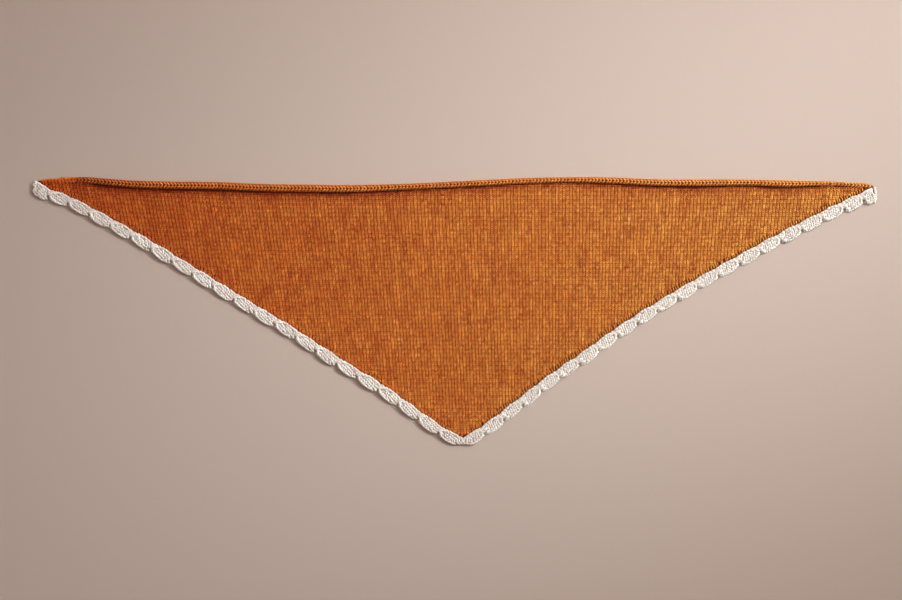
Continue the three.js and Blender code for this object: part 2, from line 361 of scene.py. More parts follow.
@dataclass
class Strands:
    """Many strands of yarn, each a closed spindle with the same number of rings.

    The lowest fifth of a strand's section is pressed flatter than the rest, and the upper faces
    come last, so that a map seen from above shows them.
    """

    centres: Grid
    wide: Grid
    high: Grid
    up: Grid
    tone: Grid

    ANGLES = np.radians([0, 60, 120, 180, 270])
    KEEL = 0.5
    # The next two set the painted shade: how fast it grows towards a strand's ends, and how much
    # falls on its sides and underside.
    END_SHADE_POWER = 1.6
    UNDER_SHADE = 0.72
    UPWARD = (0.0, 0.0, 1.0)

    @classmethod
    def laid(
        cls,
        centres: Grid,
        wide: Grid | float,
        high: Grid | float,
        tone: Grid,
        up: Grid | tuple[float, float, float] = UPWARD,
    ) -> "Strands":
        """Strands whose sizes and upward direction are given for all at once, or for each.

        Args:
            centres: The rings' middles (strands, rings, 3).
            wide: Half widths.
            high: Half heights.
            tone: One tone for each strand.
            up: The direction away from the cloth.

        Returns:
            The strands.
        """
        shape = centres.shape[:2]
        wide, high = np.broadcast_to(wide, shape), np.broadcast_to(high, shape)
        return cls(centres, wide, high, np.broadcast_to(up, (len(centres), 3)), tone)

    def mesh(self) -> Mesh:
        """The strands as one mesh.

        A ring's points are its centre, plus the side direction times the half width and the
        cosine of an angle, plus the upward direction times the half height and its sine. The
        side direction is square to the strand and to the given upward one. A strand starts and
        ends in a single point.

        Returns:
            Points (n, 3), faces (m, 4), and the values of each point: tone, one for each
            strand, painted shade, from 0 on the crest to 1 at the ends, on the sides and
            underneath, where shade falls, and the yarn's own coordinates, along it and round it.
        """
        count, rings = self.centres.shape[:2]
        inner, sides = rings - 2, len(self.ANGLES)
        run = np.gradient(self.centres, axis=1)[:, 1:-1]
        side = np.cross(run, self.up[:, None])
        side /= np.linalg.norm(side, axis=-1, keepdims=True)
        lift = np.cross(side, run)
        lift /= np.linalg.norm(lift, axis=-1, keepdims=True)
        sine = np.sin(self.ANGLES)
        sine = np.where(sine < 0, self.KEEL * sine, sine)
        across = side[:, :, None] * (self.wide[:, 1:-1, None] * np.cos(self.ANGLES))[..., None]
        above = lift[:, :, None] * (self.high[:, 1:-1, None] * sine)[..., None]
        around = self.centres[:, 1:-1, None] + across + above
        points = np.concatenate(
            [self.centres[:, :1], around.reshape(count, -1, 3), self.centres[:, -1:]], axis=1
        )
        share = np.linspace(0, 1, rings)
        # Painted shade: darker towards both ends of a strand and on its sides and underside, where
        # it goes under other yarn.
        bow = np.abs(2 * share - 1) ** self.END_SHADE_POWER
        under = np.clip(self.UNDER_SHADE - self.UNDER_SHADE * np.sin(self.ANGLES), 0, 1)
        painted_shade = np.concatenate([[1.0], np.maximum(bow[1:-1, None], under).ravel(), [1.0]])
        along = np.concatenate([[0.0], np.repeat(share[1:-1], sides), [1.0]])
        round_it = np.concatenate([[0.5], np.tile(np.arange(sides) / sides, inner), [0.5]])
        values = {
            "tone": np.repeat(self.tone, points.shape[1]),
            "painted_shade": np.tile(painted_shade, count),
            "along": np.tile(along, count),
            "round": np.tile(round_it, count),
        }
        faces = outward(points[0], self._faces(inner, sides))
        high_side = self._upper(faces, sides)
        step = (np.arange(count) * points.shape[1])[:, None, None]
        lower = (faces[~high_side] + step).reshape(-1, 4)
        upper = (faces[high_side] + step).reshape(-1, 4)
        return points.reshape(-1, 3), np.concatenate([lower, upper]), values

    def chosen(self, which: Grid) -> "Strands":
        """Only the strands of the given numbers."""
        whole = (self.centres, self.wide, self.high, self.up, self.tone)
        return Strands(*(values[which] for values in whole))

    @staticmethod
    def _faces(inner: int, sides: int) -> Grid:
        """One strand's faces: a fan at each end, and a belt between each two rings.

        Args:
            inner: Number of rings between the two ends.
            sides: Points in a ring.

        Returns:
            Faces (m, 4).
        """
        j = np.arange(sides)
        k = (j + 1) % sides
        last = inner * sides + 1
        first = 1 + (inner - 1) * sides
        start = np.stack([0 * j, 1 + k, 1 + j, 1 + j], axis=1)
        end = np.stack([first + j, first + k, last + 0 * j, last + 0 * j], axis=1)
        belts = [
            np.stack([1 + i * sides + j, 1 + i * sides + k, b + k, b + j], axis=1)
            for i in range(inner - 1)
            for b in [1 + (i + 1) * sides]
        ]
        return np.concatenate([start, *belts, end])

    def _upper(self, faces: Grid, sides: int) -> Grid:
        """Which of one strand's faces lie on its upper side: those with no point at the keel.

        Args:
            faces: The strand's faces.
            sides: Points in a ring.

        Returns:
            True for each upper face.
        """
        keel = np.argmin(np.sin(self.ANGLES))
        ring_points = (faces - 1) % sides
        is_ring = (faces > 0) & (faces < faces.max())
        return ~((ring_points == keel) & is_ring).any(axis=1)


def loft(sections: Grid) -> tuple[Grid, Grid]:
    """A closed skin over sections of the same number of points, with a cap on each end.

    Point i of a section joins point i of the next. A cap is a fan round the section's middle.

    Args:
        sections: Points (sections, points, 3).

    Returns:
        Points (n, 3) and faces (m, 4) turned outwards.
    """
    count, size = sections.shape[:2]
    i = np.arange(size)
    k = (i + 1) % size
    belts = np.stack([i, k, k + size, i + size], axis=1)
    faces = (belts + (np.arange(count - 1) * size)[:, None, None]).reshape(-1, 4)
    middles = sections[[0, -1]].mean(axis=1)
    points = np.concatenate([sections.reshape(-1, 3), middles])
    end = (count - 1) * size
    first = np.full(size, count * size)
    caps = [
        np.stack([first, k, i, i], axis=1),
        np.stack([first + 1, end + i, end + k, end + k], axis=1),
    ]
    return points, outward(points, np.concatenate([faces, *caps]))


def joined(parts: list[Mesh]) -> Mesh:
    """Several meshes as one: their points and values in a row, and their faces renumbered.

    Args:
        parts: The meshes.

    Returns:
        The one mesh.
    """
    starts = np.cumsum([0] + [len(points) for points, _, _ in parts])
    points = np.concatenate([points for points, _, _ in parts])
    faces = np.concatenate([faces + start for (_, faces, _), start in zip(parts, starts)])
    values = {name: np.concatenate([v[name] for _, _, v in parts]) for name in parts[0][2]}
    return points, faces, values


def painted_shade_body(skin: tuple[Grid, Grid]) -> Mesh:
    """A plain body's skin with the values of its points: no tone, and wholly in the colour of
    painted shade, which stands for the shade between and under the strands.

    Args:
        skin: The body's points and faces.

    Returns:
        The mesh.
    """
    points, faces = skin
    count = len(points)
    along, across = points[:, 0] / 3, points[:, 1] / 3
    values = {"tone": np.zeros(count), "painted_shade": np.ones(count), "along": along, "round": across}
    return points, faces, values


class Piece:
    """One finished piece of the bandana."""

    def __init__(self, name: str, shape: Mesh, finish: "WoolFinish", slot: str) -> None:
        """Makes the object, with its maps and values, and lets it ride on the frame. No point
        lies below the surface.

        Args:
            name: The piece's name.
            shape: Points in millimetres (n, 3), faces (m, 4), where a triangle repeats its last
                corner, or its first one when turned round, and values of each point.
            finish: The wool's finish.
            slot: Not used.
        """
        points, faces, values = shape
        mesh = bpy.data.meshes.new(name)
        points = np.maximum(points, [-np.inf, -np.inf, 0.0])
        triangle = faces[:, 2] == faces[:, 3]
        turned = faces[:, 0] == faces[:, 1]
        sizes = np.where(triangle | turned, 3, 4)
        kept = np.ones(faces.shape, bool)
        kept[triangle, 3] = False
        kept[turned, 0] = False
        corners = faces[kept]
        mesh.vertices.add(len(points))
        mesh.vertices.foreach_set("co", (points * MM).astype(np.float32).ravel())
        mesh.loops.add(len(corners))
        mesh.loops.foreach_set("vertex_index", corners.astype(np.int32))
        mesh.polygons.add(len(sizes))
        starts = np.concatenate([[0], np.cumsum(sizes)[:-1]])
        mesh.polygons.foreach_set("loop_start", starts.astype(np.int32))
        mesh.update(calc_edges=True)
        mesh.shade_smooth()
        self._map(mesh, "OFBake", self._from_above(points)[corners])
        yarn = np.stack([values["along"], values["round"]], axis=-1)
        self._map(mesh, "Yarn", yarn[corners])
        for value in ("tone", "painted_shade"):
            layer = mesh.attributes.new(value, "FLOAT", "POINT")
            layer.data.foreach_set("value", values[value].astype(np.float32))
        mesh.materials.append(finish.material())
        mesh.validate()
        self.object = bpy.data.objects.new(name, mesh)
        bpy.context.scene.collection.objects.link(self.object)
        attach(self.object, "root")
        mesh.calc_loop_triangles()
        log.info("%s: %d triangles", name, len(mesh.loop_triangles))

    @staticmethod
    def _from_above(points: Grid) -> Grid:
        """Each point's place in the piece's box as seen from above, from 0 to 1."""
        low, high = points[:, :2].min(axis=0), points[:, :2].max(axis=0)
        return (points[:, :2] - low) / (high - low)

    @staticmethod
    def _map(mesh: bpy.types.Mesh, name: str, places: Grid) -> None:
        """Adds a map of the given places, one for each face corner."""
        layer = mesh.uv_layers.new(name=name)
        layer.data.foreach_set("uv", places.astype(np.float32).ravel())


# Finishes


class Wiring:
    """Adds nodes to one node tree and joins them."""

    def __init__(self, tree: bpy.types.NodeTree) -> None:
        """Keeps the tree, emptied.

        Args:
            tree: The node tree.
        """
        self.tree = tree
        tree.nodes.clear()

    def add(
        self, kind: str, inputs: dict[str | int, Setting] | None = None, **settings: object
    ) -> bpy.types.Node:
        """Adds a node.

        Args:
            kind: The node's type.
            inputs: Values, or the output sockets to join, by input name or number.
            settings: The node's own settings.

        Returns:
            The node.
        """
        node = self.tree.nodes.new(kind)
        for key, value in settings.items():
            setattr(node, key, value)
        for key, value in (inputs or {}).items():
            if isinstance(value, Socket):
                self.tree.links.new(value, node.inputs[key])
            else:
                node.inputs[key].default_value = value
        return node

    def math(
        self, operation: str, first: Setting, second: Setting = 0.0, third: Setting = 0.0
    ) -> Socket:
        """The output of a Math node."""
        given = {0: first, 1: second, 2: third}
        return self.add("ShaderNodeMath", given, operation=operation).outputs[0]

    def mix(self, kind: str, share: Setting, first: Setting, second: Setting) -> Socket:
        """The output of a Mix node for colours, which are its inputs 6 and 7."""
        given = {"Factor": share, 6: first, 7: second}
        return self.add("ShaderNodeMix", given, data_type="RGBA", blend_type=kind).outputs[2]

    def spread(self, value: Socket, low: float, high: float, how: str = "LINEAR") -> Socket:
        """A value spread out, so that it runs from 0 at low to 1 at high."""
        given = {"Value": value, "From Min": low, "From Max": high}
        return self.add("ShaderNodeMapRange", given, interpolation_type=how).outputs["Result"]

    def noise(self, place: Socket, scale: Setting, detail: float) -> Socket:
        """The value of a noise texture."""
        given = {"Vector": place, "Scale": scale, "Detail": detail}
        return self.add("ShaderNodeTexNoise", given).outputs["Fac"]


class YarnGroup:
    """The shader node group of spun wool, used by every finish.

    Its colour is the yarn's, blended to the tint by a soft mottle and by an even gradient from the
    left tip to the right one, which is painted light and shade. It is lighter and yellower, or
    darker and redder, by the strand's tone, which on the panel also holds painted shade and a
    painted highlight, and blended to the colour of painted shade where a strand goes down at its
    ends, on its sides and underneath, and on the cloth between strands. Its normal has the twist
    of the plies and the fibres.
    """

    NAME = "spun_wool"
    COLOURS = ("Yarn", "Tint", "Painted Shade")
    NUMBERS = ("Mottle Size", "Painted Light Drift", "Tone Range", "Painted Shade Share", "Plies", "Twist", "Relief")
    OUTPUTS = (
        ("Colour", "NodeSocketColor"),
        ("Roughness", "NodeSocketFloat"),
        ("Normal", "NodeSocketVector"),
    )
    FIBRE_SCALE = 2600.0
    # Half the length, in metres, over which the painted gradient of light and shade runs from the
    # left tip to the right one.
    HALF_LONG = 0.48
    MOTTLE_SPREAD = (0.35, 0.65)
    FLECK = (0.3, 0.85)
    PAINTED_SHADE_POWER = 1.2
    PLY_HIGH = 0.35
    BUMP_HIGH = 0.0003
    ROUGHNESS = (0.12, 0.84)

    @classmethod
    def get(cls) -> bpy.types.NodeTree:
        """The group, built on first use."""
        return bpy.data.node_groups.get(cls.NAME) or cls._build()

    @classmethod
    def _build(cls) -> bpy.types.NodeTree:
        """Builds the group's nodes.

        Returns:
            The group.
        """
        tree = bpy.data.node_groups.new(cls.NAME, "ShaderNodeTree")
        for name in cls.COLOURS:
            tree.interface.new_socket(name, in_out="INPUT", socket_type="NodeSocketColor")
        for name in cls.NUMBERS:
            tree.interface.new_socket(name, in_out="INPUT", socket_type="NodeSocketFloat")
        for name, kind in cls.OUTPUTS:
            tree.interface.new_socket(name, in_out="OUTPUT", socket_type=kind)
        w = Wiring(tree)
        given = w.add("NodeGroupInput").outputs
        place = w.add("ShaderNodeTexCoord").outputs["Object"]
        tone = w.add("ShaderNodeAttribute", attribute_name="tone").outputs["Fac"]
        painted_shade = w.add("ShaderNodeAttribute", attribute_name="painted_shade").outputs["Fac"]
        mottle = w.noise(place, given["Mottle Size"], 3.0)
        fibre = w.noise(place, cls.FIBRE_SCALE, 2.0)
        share = w.spread(mottle, *cls.MOTTLE_SPREAD, "SMOOTHSTEP")
        across = w.add("ShaderNodeSeparateXYZ", {0: place}).outputs[0]
        from_left = w.spread(across, -cls.HALF_LONG, cls.HALF_LONG)
        # Painted light and shade: an even gradient from the yarn's colour at the left tip to the
        # tint at the right one.
        painted_light_drift = w.math("MULTIPLY", w.math("SUBTRACT", from_left, share), given["Painted Light Drift"])
        tinted = w.mix("MIX", w.math("ADD", share, painted_light_drift), given["Yarn"], given["Tint"])
        shift = w.math("MULTIPLY_ADD", tone, given["Tone Range"], 1.0)
        fleck = w.math("MULTIPLY_ADD", fibre, *cls.FLECK)
        light = w.math("MULTIPLY", shift, fleck)
        yellow = w.math("MULTIPLY", light, shift)
        grade = w.add("ShaderNodeCombineColor", {0: light, 1: yellow, 2: yellow}).outputs[0]
        toned = w.mix("MULTIPLY", 1.0, tinted, grade)
        # Painted shade: the colour is blended to the shade colour by the strand's painted shade
        # value.
        deep = w.math("MULTIPLY", w.math("POWER", painted_shade, cls.PAINTED_SHADE_POWER), given["Painted Shade Share"])
        colour = w.mix("MIX", deep, toned, given["Painted Shade"])
        yarn = w.add("ShaderNodeUVMap", uv_map="Yarn").outputs["UV"]
        along, round_it, _ = w.add("ShaderNodeSeparateXYZ", {0: yarn}).outputs
        plies = w.math("MULTIPLY", round_it, given["Plies"])
        turns = w.math("MULTIPLY_ADD", along, given["Twist"], plies)
        ply = w.math("SINE", w.math("MULTIPLY", turns, 2 * np.pi))
        relief = w.math("MULTIPLY_ADD", ply, cls.PLY_HIGH, fibre)
        bump = {"Strength": given["Relief"], "Distance": cls.BUMP_HIGH, "Height": relief}
        normal = w.add("ShaderNodeBump", bump).outputs["Normal"]
        rough = w.math("MULTIPLY_ADD", fibre, *cls.ROUGHNESS)
        w.add("NodeGroupOutput", {"Colour": colour, "Roughness": rough, "Normal": normal})
        return tree


@dataclass(frozen=True)
class WoolFinish:
    """The finish of one yarn: its colours, its twist and its sheen."""

    name: str
    yarn: Colour
    tint: Colour
    # The hollow colour is the colour of painted shade, in the gaps between strands and on their
    # ends and sides; its share follows after tone_range.
    hollow: Colour
    tone_range: float
    painted_shade_share: float
    mottle_size: float = 140.0
    # How much of the even gradient of painted light and shade, from the left tip to the right one,
    # is blended in.
    painted_light_drift: float = 0.85
    plies: float = 3.0
    twist: float = 2.0
    relief: float = 0.5
    sheen: float = 0.2
    sheen_tint: Colour = (1.0, 1.0, 1.0)
    sheen_roughness: float = 0.5
    specular: float = 0.2

    def material(self) -> bpy.types.Material:
        """The Blender material, made on first use.

        Returns:
            The material.
        """
        known = bpy.data.materials.get(self.name)
        if known:
            return known
        made = bpy.data.materials.new(self.name)
        made.use_nodes = True
        w = Wiring(made.node_tree)
        colours = (self.yarn, self.tint, self.hollow)
        given = {name: (*colour, 1.0) for name, colour in zip(YarnGroup.COLOURS, colours)}
        numbers = (self.mottle_size, self.painted_light_drift, self.tone_range, self.painted_shade_share)
        numbers += (self.plies, self.twist, self.relief)
        given |= dict(zip(YarnGroup.NUMBERS, numbers))
        wool = w.add("ShaderNodeGroup", given, node_tree=YarnGroup.get()).outputs
        shader = w.add(
            "ShaderNodeBsdfPrincipled",
            {
                "Base Color": wool["Colour"],
                "Roughness": wool["Roughness"],
                "Normal": wool["Normal"],
                "Specular IOR Level": self.specular,
                "Sheen Weight": self.sheen,
                "Sheen Tint": (*self.sheen_tint, 1.0),
                "Sheen Roughness": self.sheen_roughness,
            },
        )
        w.add("ShaderNodeOutputMaterial", {"Surface": shader.outputs[0]})
        return made


# In each finish the yarn colour is mostly the left tip's and the tint mostly the right tip's: an
# even gradient of painted light and shade. The hollow colour is the colour of painted shade.
RUST = WoolFinish(
    "rust_wool",
    yarn=linear(236, 99, 29),
    tint=linear(255, 170, 76),
    hollow=linear(92, 24, 6),
    tone_range=0.12,
    painted_shade_share=0.95,
    mottle_size=60.0,
    sheen_tint=linear(255, 214, 160),
)
RUST_CORD = replace(
    RUST, name="rust_cord_wool", yarn=linear(242, 122, 44), tint=linear(255, 172, 86)
)
CREAM = WoolFinish(
    "cream_wool",
    yarn=linear(253, 247, 242),
    tint=linear(235, 227, 220),
    hollow=linear(146, 114, 104),
    tone_range=0.035,
    painted_shade_share=0.62,
)
PINK_CREAM = replace(
    CREAM, name="pinkish_cream_wool", yarn=linear(249, 235, 229), tint=linear(244, 227, 219)
)


# The panel


@dataclass(frozen=True)
class Vee:
    """The path of one leg of a knit stitch, which is a V with its point down.

    The leg comes up out of the stitch below, lies on top, leans outwards, and goes down behind
    the stitch above. across is in stitch widths from the stitch's middle, along is in rows from
    its own row, and deep is in millimetres above the cloth's surface.
    """

    across: tuple[float, ...] = (0.02, 0.1, 0.25, 0.42)
    along: tuple[float, ...] = (-0.8, -0.3, 0.25, 0.84)
    deep: tuple[float, ...] = (-1.3, 0.0, 0.0, -1.2)


@dataclass(frozen=True)
class Bar:
    """The path of the short bar between a stitch and the next wale, in the same measures, from
    halfway between the two."""

    across: tuple[float, ...] = (-0.3, -0.12, 0.12, 0.3)
    deep: tuple[float, ...] = (-0.5, 0.0, 0.0, -0.5)


@dataclass(frozen=True)
class EdgeRow:
    """The row of longer stitches beside one seam.

    band is how far from the seam the other stitches end. inside is how far from it this row's
    middles lie, long and half are half a stitch's length and width, and pitch runs along it.
    """

    band: float
    inside: float
    long: float
    half: float
    pitch: float
    tone: float

    # A stitch's rings: where they lie along it, and their heights above the surface.
    ALONG = (-1.0, -0.4, 0.4, 1.0)
    DEEP = (-0.9, 0.1, 0.1, -0.9)


EDGE_ROWS = {
    Side.LEFT: EdgeRow(band=3.4, inside=2.2, long=2.5, half=0.7, pitch=2.1, tone=-0.2),
    Side.RIGHT: EdgeRow(band=4.9, inside=3.0, long=2.9, half=0.66, pitch=3.1, tone=0.8),
}


@dataclass
class Panel:
    """The stockinette panel: a body of cloth, its stitches, and the row of longer stitches
    beside each lower seam.

    Each effect is what changes a stitch's size, its height and its tone: its own difference,
    the streak that it lies in, and being in a tight row.
    """

    # The cloth under the stitches.
    body_high: float = 0.7
    under_cord: float = 0.14
    rim: float = 5.0
    body_step: float = 6.0
    body_rows: int = 26
    # The grid of wales and rows.
    wales: tuple[int, int] = (-165, 100)
    rows: int = 134
    lowest_row: float = -150.0
    stitch_wide: float = 3.77
    row_high: float = 2.45
    fan_centre: float = 121.0
    fan: float = 4.3e-4
    row_lean_start: float = -150.0
    row_lean: float = 1.0e-4
    # The legs and the bars, their tones, and their small differences.
    leg_lift: float = 0.95
    yarn_half: float = 0.61
    yarn_high: float = 0.74
    bar_half: float = 0.5
    bar_along: float = 0.25
    bar_deep: float = -0.05
    leg_tone: float = 1.05
    leg_rise: float = 0.32
    # The bars' lower tone is painted shade in the gaps between the wales.
    bar_painted_shade: float = -2.3
    darkest: float = -5.5
    loose: float = 0.09
    own_effect: tuple[float, float, float] = (0.05, 0.08, 0.55)
    streak_effect: tuple[float, float, float] = (0.02, 0.04, 0.5)
    tight_effect: tuple[float, float, float] = (-0.03, -0.06, -0.25)
    tight_drop: float = 0.1
    streak_rows: int = 7
    # The dip beside the cord, its painted shadow, the painted highlight on the rim, and its flat
    # left end.
    cord_clear: float = 0.4
    cord_dip: float = 0.8
    cord_dip_reach: float = 7.0
    full_cord: float = 6.0
    thin_cord: float = 0.3
    # The cord's painted shadow: two bells taken off the tone, where they start along x, and how
    # they fade on the flat end; then the painted highlight on the rim.
    cord_shade: tuple[float, float] = (4.0, 3.0)
    cord_shade_reach: tuple[float, float] = (2.6, 8.5)
    shade_start: float = -475.0
    shade_full: float = 70.0
    flat_fade: float = 4.0
    painted_rim_highlight: float = 1.2
    rim_wide: float = 1.2
    rolled_flat: float = -438.0
    flat_spill: tuple[float, float] = (4.0, 1.0)
    # Where the stitches end, the pieces that they are made in, and the rows beside the seams.
    point_reach: float = 8.0
    point_band: float = 1.8
    tips_clear: tuple[float, float] = (5.0, 6.0)
    strips: int = 6
    edge_clear: float = 8.0
    edge_way: tuple[float, float] = (0.42, 0.58)
    edge_slip: tuple[float, float, float, float] = (0.35, 0.2, 0.15, 0.08)
    edge_tall: float = 1.1
    edge_tone_spread: float = 0.6

    def top(self, x: Grid) -> Grid:
        """The panel's upper edge, under the cord."""
        return CORD_EDGE(x) - CORD_EDGE(x, 2) - SEAM_GAP

    def bottom(self, x: Grid) -> Grid:
        """The panel's lower edge, at the seams."""
        return np.where(x < POINT_X, LEFT_SEAM(x), RIGHT_SEAM(x))

    def relief(self, x: Grid, y: Grid) -> Grid:
        """Height of the swells, less the dip beside the cord."""
        return swell(x, y) - self.cord_dip * self.beside_cord(x, y)

    def surface(self, x: Grid, y: Grid) -> Grid:
        """Height at which the middle of a leg lies."""
        return self.body_high + self.leg_lift + self.relief(x, y)

    def cord_full(self, x: Grid) -> Grid:
        """How full the cord is, from 0 where it is thin to 1, by an even slope of its width."""
        return np.clip(CORD_EDGE(x, 2) / self.full_cord - self.thin_cord, 0, 1)

    def beside_cord(self, x: Grid, y: Grid) -> Grid:
        """How near a place lies to the cord: a bell curve of the distance, lower by a thin cord."""
        inside = np.clip(self.top(x) - y, 0, None)
        return self.cord_full(x) * np.exp(-((inside / self.cord_dip_reach) ** 2))

    def shade(self, x: Grid, y: Grid) -> Grid:
        """How much darker the wool is painted beside the cord: its painted shadow.

        It is the sum of two bell curves of the distance from the cord, a narrow one and a wide
        one. On the cord's flat end they fade faster, and the rim there is painted lighter, as a
        painted highlight.

        Args:
            x: The places' x.
            y: The places' y.

        Returns:
            What is taken off the tone.
        """
        below = self.top(x) - y
        inside = np.where(below < 0, -self.flat_fade * below, below)
        full = self.cord_full(x) * np.clip((x - self.shade_start) / self.shade_full, 0, 1)
        bells = [
            strength * np.exp(-((inside / reach) ** 2))
            for strength, reach in zip(self.cord_shade, self.cord_shade_reach)
        ]
        return full * sum(bells) - self.painted_rim_highlight * (below < -self.rim_wide)

    def body(self) -> tuple[Grid, Grid]:
        """The cloth under the stitches, as sections across the panel.

        A section runs along the outer side from the lower edge to the upper one, and back along
        the flat underside. The outer side follows the relief, which fades out over the last
        millimetres beside an edge, as an even slope. It ends a little way under the cord's
        curve.

        Returns:
            Points and faces.
        """
        start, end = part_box("main_panel")[0][0] / MM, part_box("main_panel")[1][0] / MM
        x = np.linspace(start, end, int((end - start) / self.body_step))[:, None]
        share = np.linspace(0, 1, self.body_rows)[None, :]
        share = share * share * (3 - 2 * share)
        low, high = self.bottom(x), self.top(x) + SEAM_GAP + self.under_cord * CORD_EDGE(x, 2)
        y = low + (high - low) * share
        inside = np.minimum(y - low, high - y)
        z = self.body_high + self.relief(x, y) * np.clip(inside / self.rim, 0, 1)
        x = np.broadcast_to(x, y.shape)
        outer = np.stack([x, y, z], axis=-1)
        under = np.stack([x, y, np.zeros_like(y)], axis=-1)[:, ::-1]
        return loft(np.concatenate([outer, under], axis=1))

    def place(self, wale: Grid, row: Grid) -> tuple[Grid, Grid]:
        """Where the knitting grid lies on the panel.

        Rows lie level, and lean down towards the middle at the far left. Wales fan out towards
        the top: their pitch grows evenly with the height.

        Args:
            wale: Number of the wale, counted from the middle of the fan.
            row: Number of the row, counted from the point.

        Returns:
            x and y.
        """
        level = self.lowest_row + row * self.row_high
        x = self.fan_centre + wale * self.stitch_wide * (1 + self.fan * level)
        lean = np.clip(self.row_lean_start - x, 0, None)
        return x, level + self.row_lean * lean**2

    def field(self) -> tuple[Grid, Grid, tuple[int, int]]:
        """The stitches that lie on the panel, clear of its seams.

        Left of where the cord lies flat, the stitches run on over it.

        Returns:
            Wale and row of each stitch, and the numbers of wales and rows in the whole grid.
        """
        wales, rows = np.arange(*self.wales), np.arange(self.rows)
        wale, row = (grid.ravel() for grid in np.meshgrid(wales, rows))
        x, y = self.place(wale, row)
        spot = np.stack([x, y], axis=-1)
        inside = np.where(x < POINT_X, *(SEAMS[side].nearest(spot)[0] for side in Side))
        high = np.where(x < self.rolled_flat, CORD_EDGE(x), self.top(x)) - self.cord_clear
        band = np.where(x < POINT_X, *(EDGE_ROWS[side].band for side in Side))
        band = np.where(np.abs(x - POINT_X) < self.point_reach, self.point_band, band)
        keep = (inside > band) & (y < high)
        keep &= (x > LEFT_SEAM.start + self.tips_clear[0])
        keep &= (x < RIGHT_SEAM.end - self.tips_clear[1])
        return wale[keep], row[keep], (len(wales), len(rows))

    def streaks(self, random: Random, size: tuple[int, int]) -> Grid:
        """Soft random streaks along the wales: a random value for each stitch, evened out over
        a few rows by a running mean, and scaled back to a spread of one.

        Args:
            random: The source of the values.
            size: Numbers of wales and rows.

        Returns:
            The values (wales, rows).
        """
        long = self.streak_rows
        total = np.cumsum(random.normal(0, 1, (size[0], size[1] + long)), axis=1)
        return (total[:, long:] - total[:, :-long]) / np.sqrt(long)

    def varied(self, what: int, random: Random, streak: Grid, tight: Grid) -> Grid:
        """How the stitches differ: the sum of the three effects, each times its own value.

        Args:
            what: 0 for size, 1 for height and 2 for tone.
            random: The source of the stitches' own differences.
            streak: The streaks' values.
            tight: 1 in a tight row, and 0 in the others.

        Returns:
            One value for each stitch.
        """
        own = self.own_effect[what] * random.normal(0, 1, len(streak))
        return own + self.streak_effect[what] * streak + self.tight_effect[what] * tight

    def stitches(self, random: Random) -> Strands:
        """All the stitches: their left legs, their right legs, and the bars to the next wale.

        Every other row is drawn a little tighter. The bars lie lower, and are darker by painted
        shade. Beside the cord the stitches carry its painted shadow, and on its flat end a painted
        highlight.

        Args:
            random: The source of the small differences between stitches.

        Returns:
            The legs and the bars.
        """
        wale, row, size = self.field()
        count = len(wale)
        log.info("panel stitches: %d", count)
        streak = self.streaks(random, size)[wale - self.wales[0], row]
        tight = (row % 2) * 1.0
        grow = 1 + self.varied(0, random, streak, tight)
        lift = self.varied(1, random, streak, tight)[:, None]
        slip = random.normal(0, self.loose, (2, count, 1))
        vee = Vee()
        along = row[:, None] + np.array(vee.along) - self.tight_drop * tight[:, None]
        legs = [wale[:, None] + side * np.array(vee.across) for side in (-1, 1)]
        paths = [self.lay(across, along, slip, np.array(vee.deep), lift) for across in legs]
        bar = Bar()
        across = wale[:, None] + 0.5 + np.array(bar.across)
        along = row[:, None] + self.bar_along + 0.0 * across
        paths.append(self.lay(across, along, slip, self.bar_deep, np.array(bar.deep)))
        grow = np.tile(grow, 3)[:, None]
        wide = np.repeat([self.yarn_half, self.yarn_half, self.bar_half], count)[:, None] * grow
        high = np.repeat([self.yarn_high, self.yarn_high, self.bar_half], count)[:, None] * grow
        # The cord's painted shadow, and the painted highlight on its flat end's rim, go into the
        # tone.
        tone = self.varied(2, random, streak, tight) - self.shade(*self.place(wale, row))
        tone = np.tile(tone, 3) + self.leg_tone * random.normal(0, 1, 3 * count)
        # The bars' lower tone is painted shade in the gaps between the wales.
        tone += np.repeat([self.leg_rise, self.leg_rise, self.bar_painted_shade], count)
        return Strands.laid(np.concatenate(paths), wide, high, np.maximum(tone, self.darkest))

    def lay(self, across: Grid, along: Grid, slip: Grid, deep: Grid | float, lift: Grid) -> Grid:
        """Paths of strands on the cloth, which run on over the flat end of the cord.

        Args:
            across: Places across the wales (strands, 4).
            along: Places along the rows.
            slip: The stitches' small shifts, in x and in y.
            deep: Heights above the surface.
            lift: What is added to them.

        Returns:
            Points (strands, 4, 3).
        """
        x, y = self.place(across, along)
        x, y = x + slip[0], y + slip[1]
        z = self.surface(x, y) + self.over_cord(x, y) + deep + lift
        return np.stack([x, y, z], axis=-1)

    def over_cord(self, x: Grid, y: Grid) -> Grid:
        """How much higher the cloth lies where it runs on over the flat end of the cord.

        It is the upper half of an ellipse as wide as the cord, and as high as its crest stands
        above the cloth.

        Args:
            x: The places' x.
            y: The places' y.

        Returns:
            Heights.
        """
        half = CORD_EDGE(x, 2) / 2
        across = np.clip((y - CORD_EDGE(x) + half) / half, -1, 1)
        crest = np.clip(2 * half * Cord().tall(x) - self.body_high, 0, None)
        bulge = crest * np.sqrt(1 - across**2)
        past, below = self.flat_spill
        on_cord = (x < self.rolled_flat + past) & (y > self.top(x) - below)
        return np.where(on_cord, bulge, 0.0)

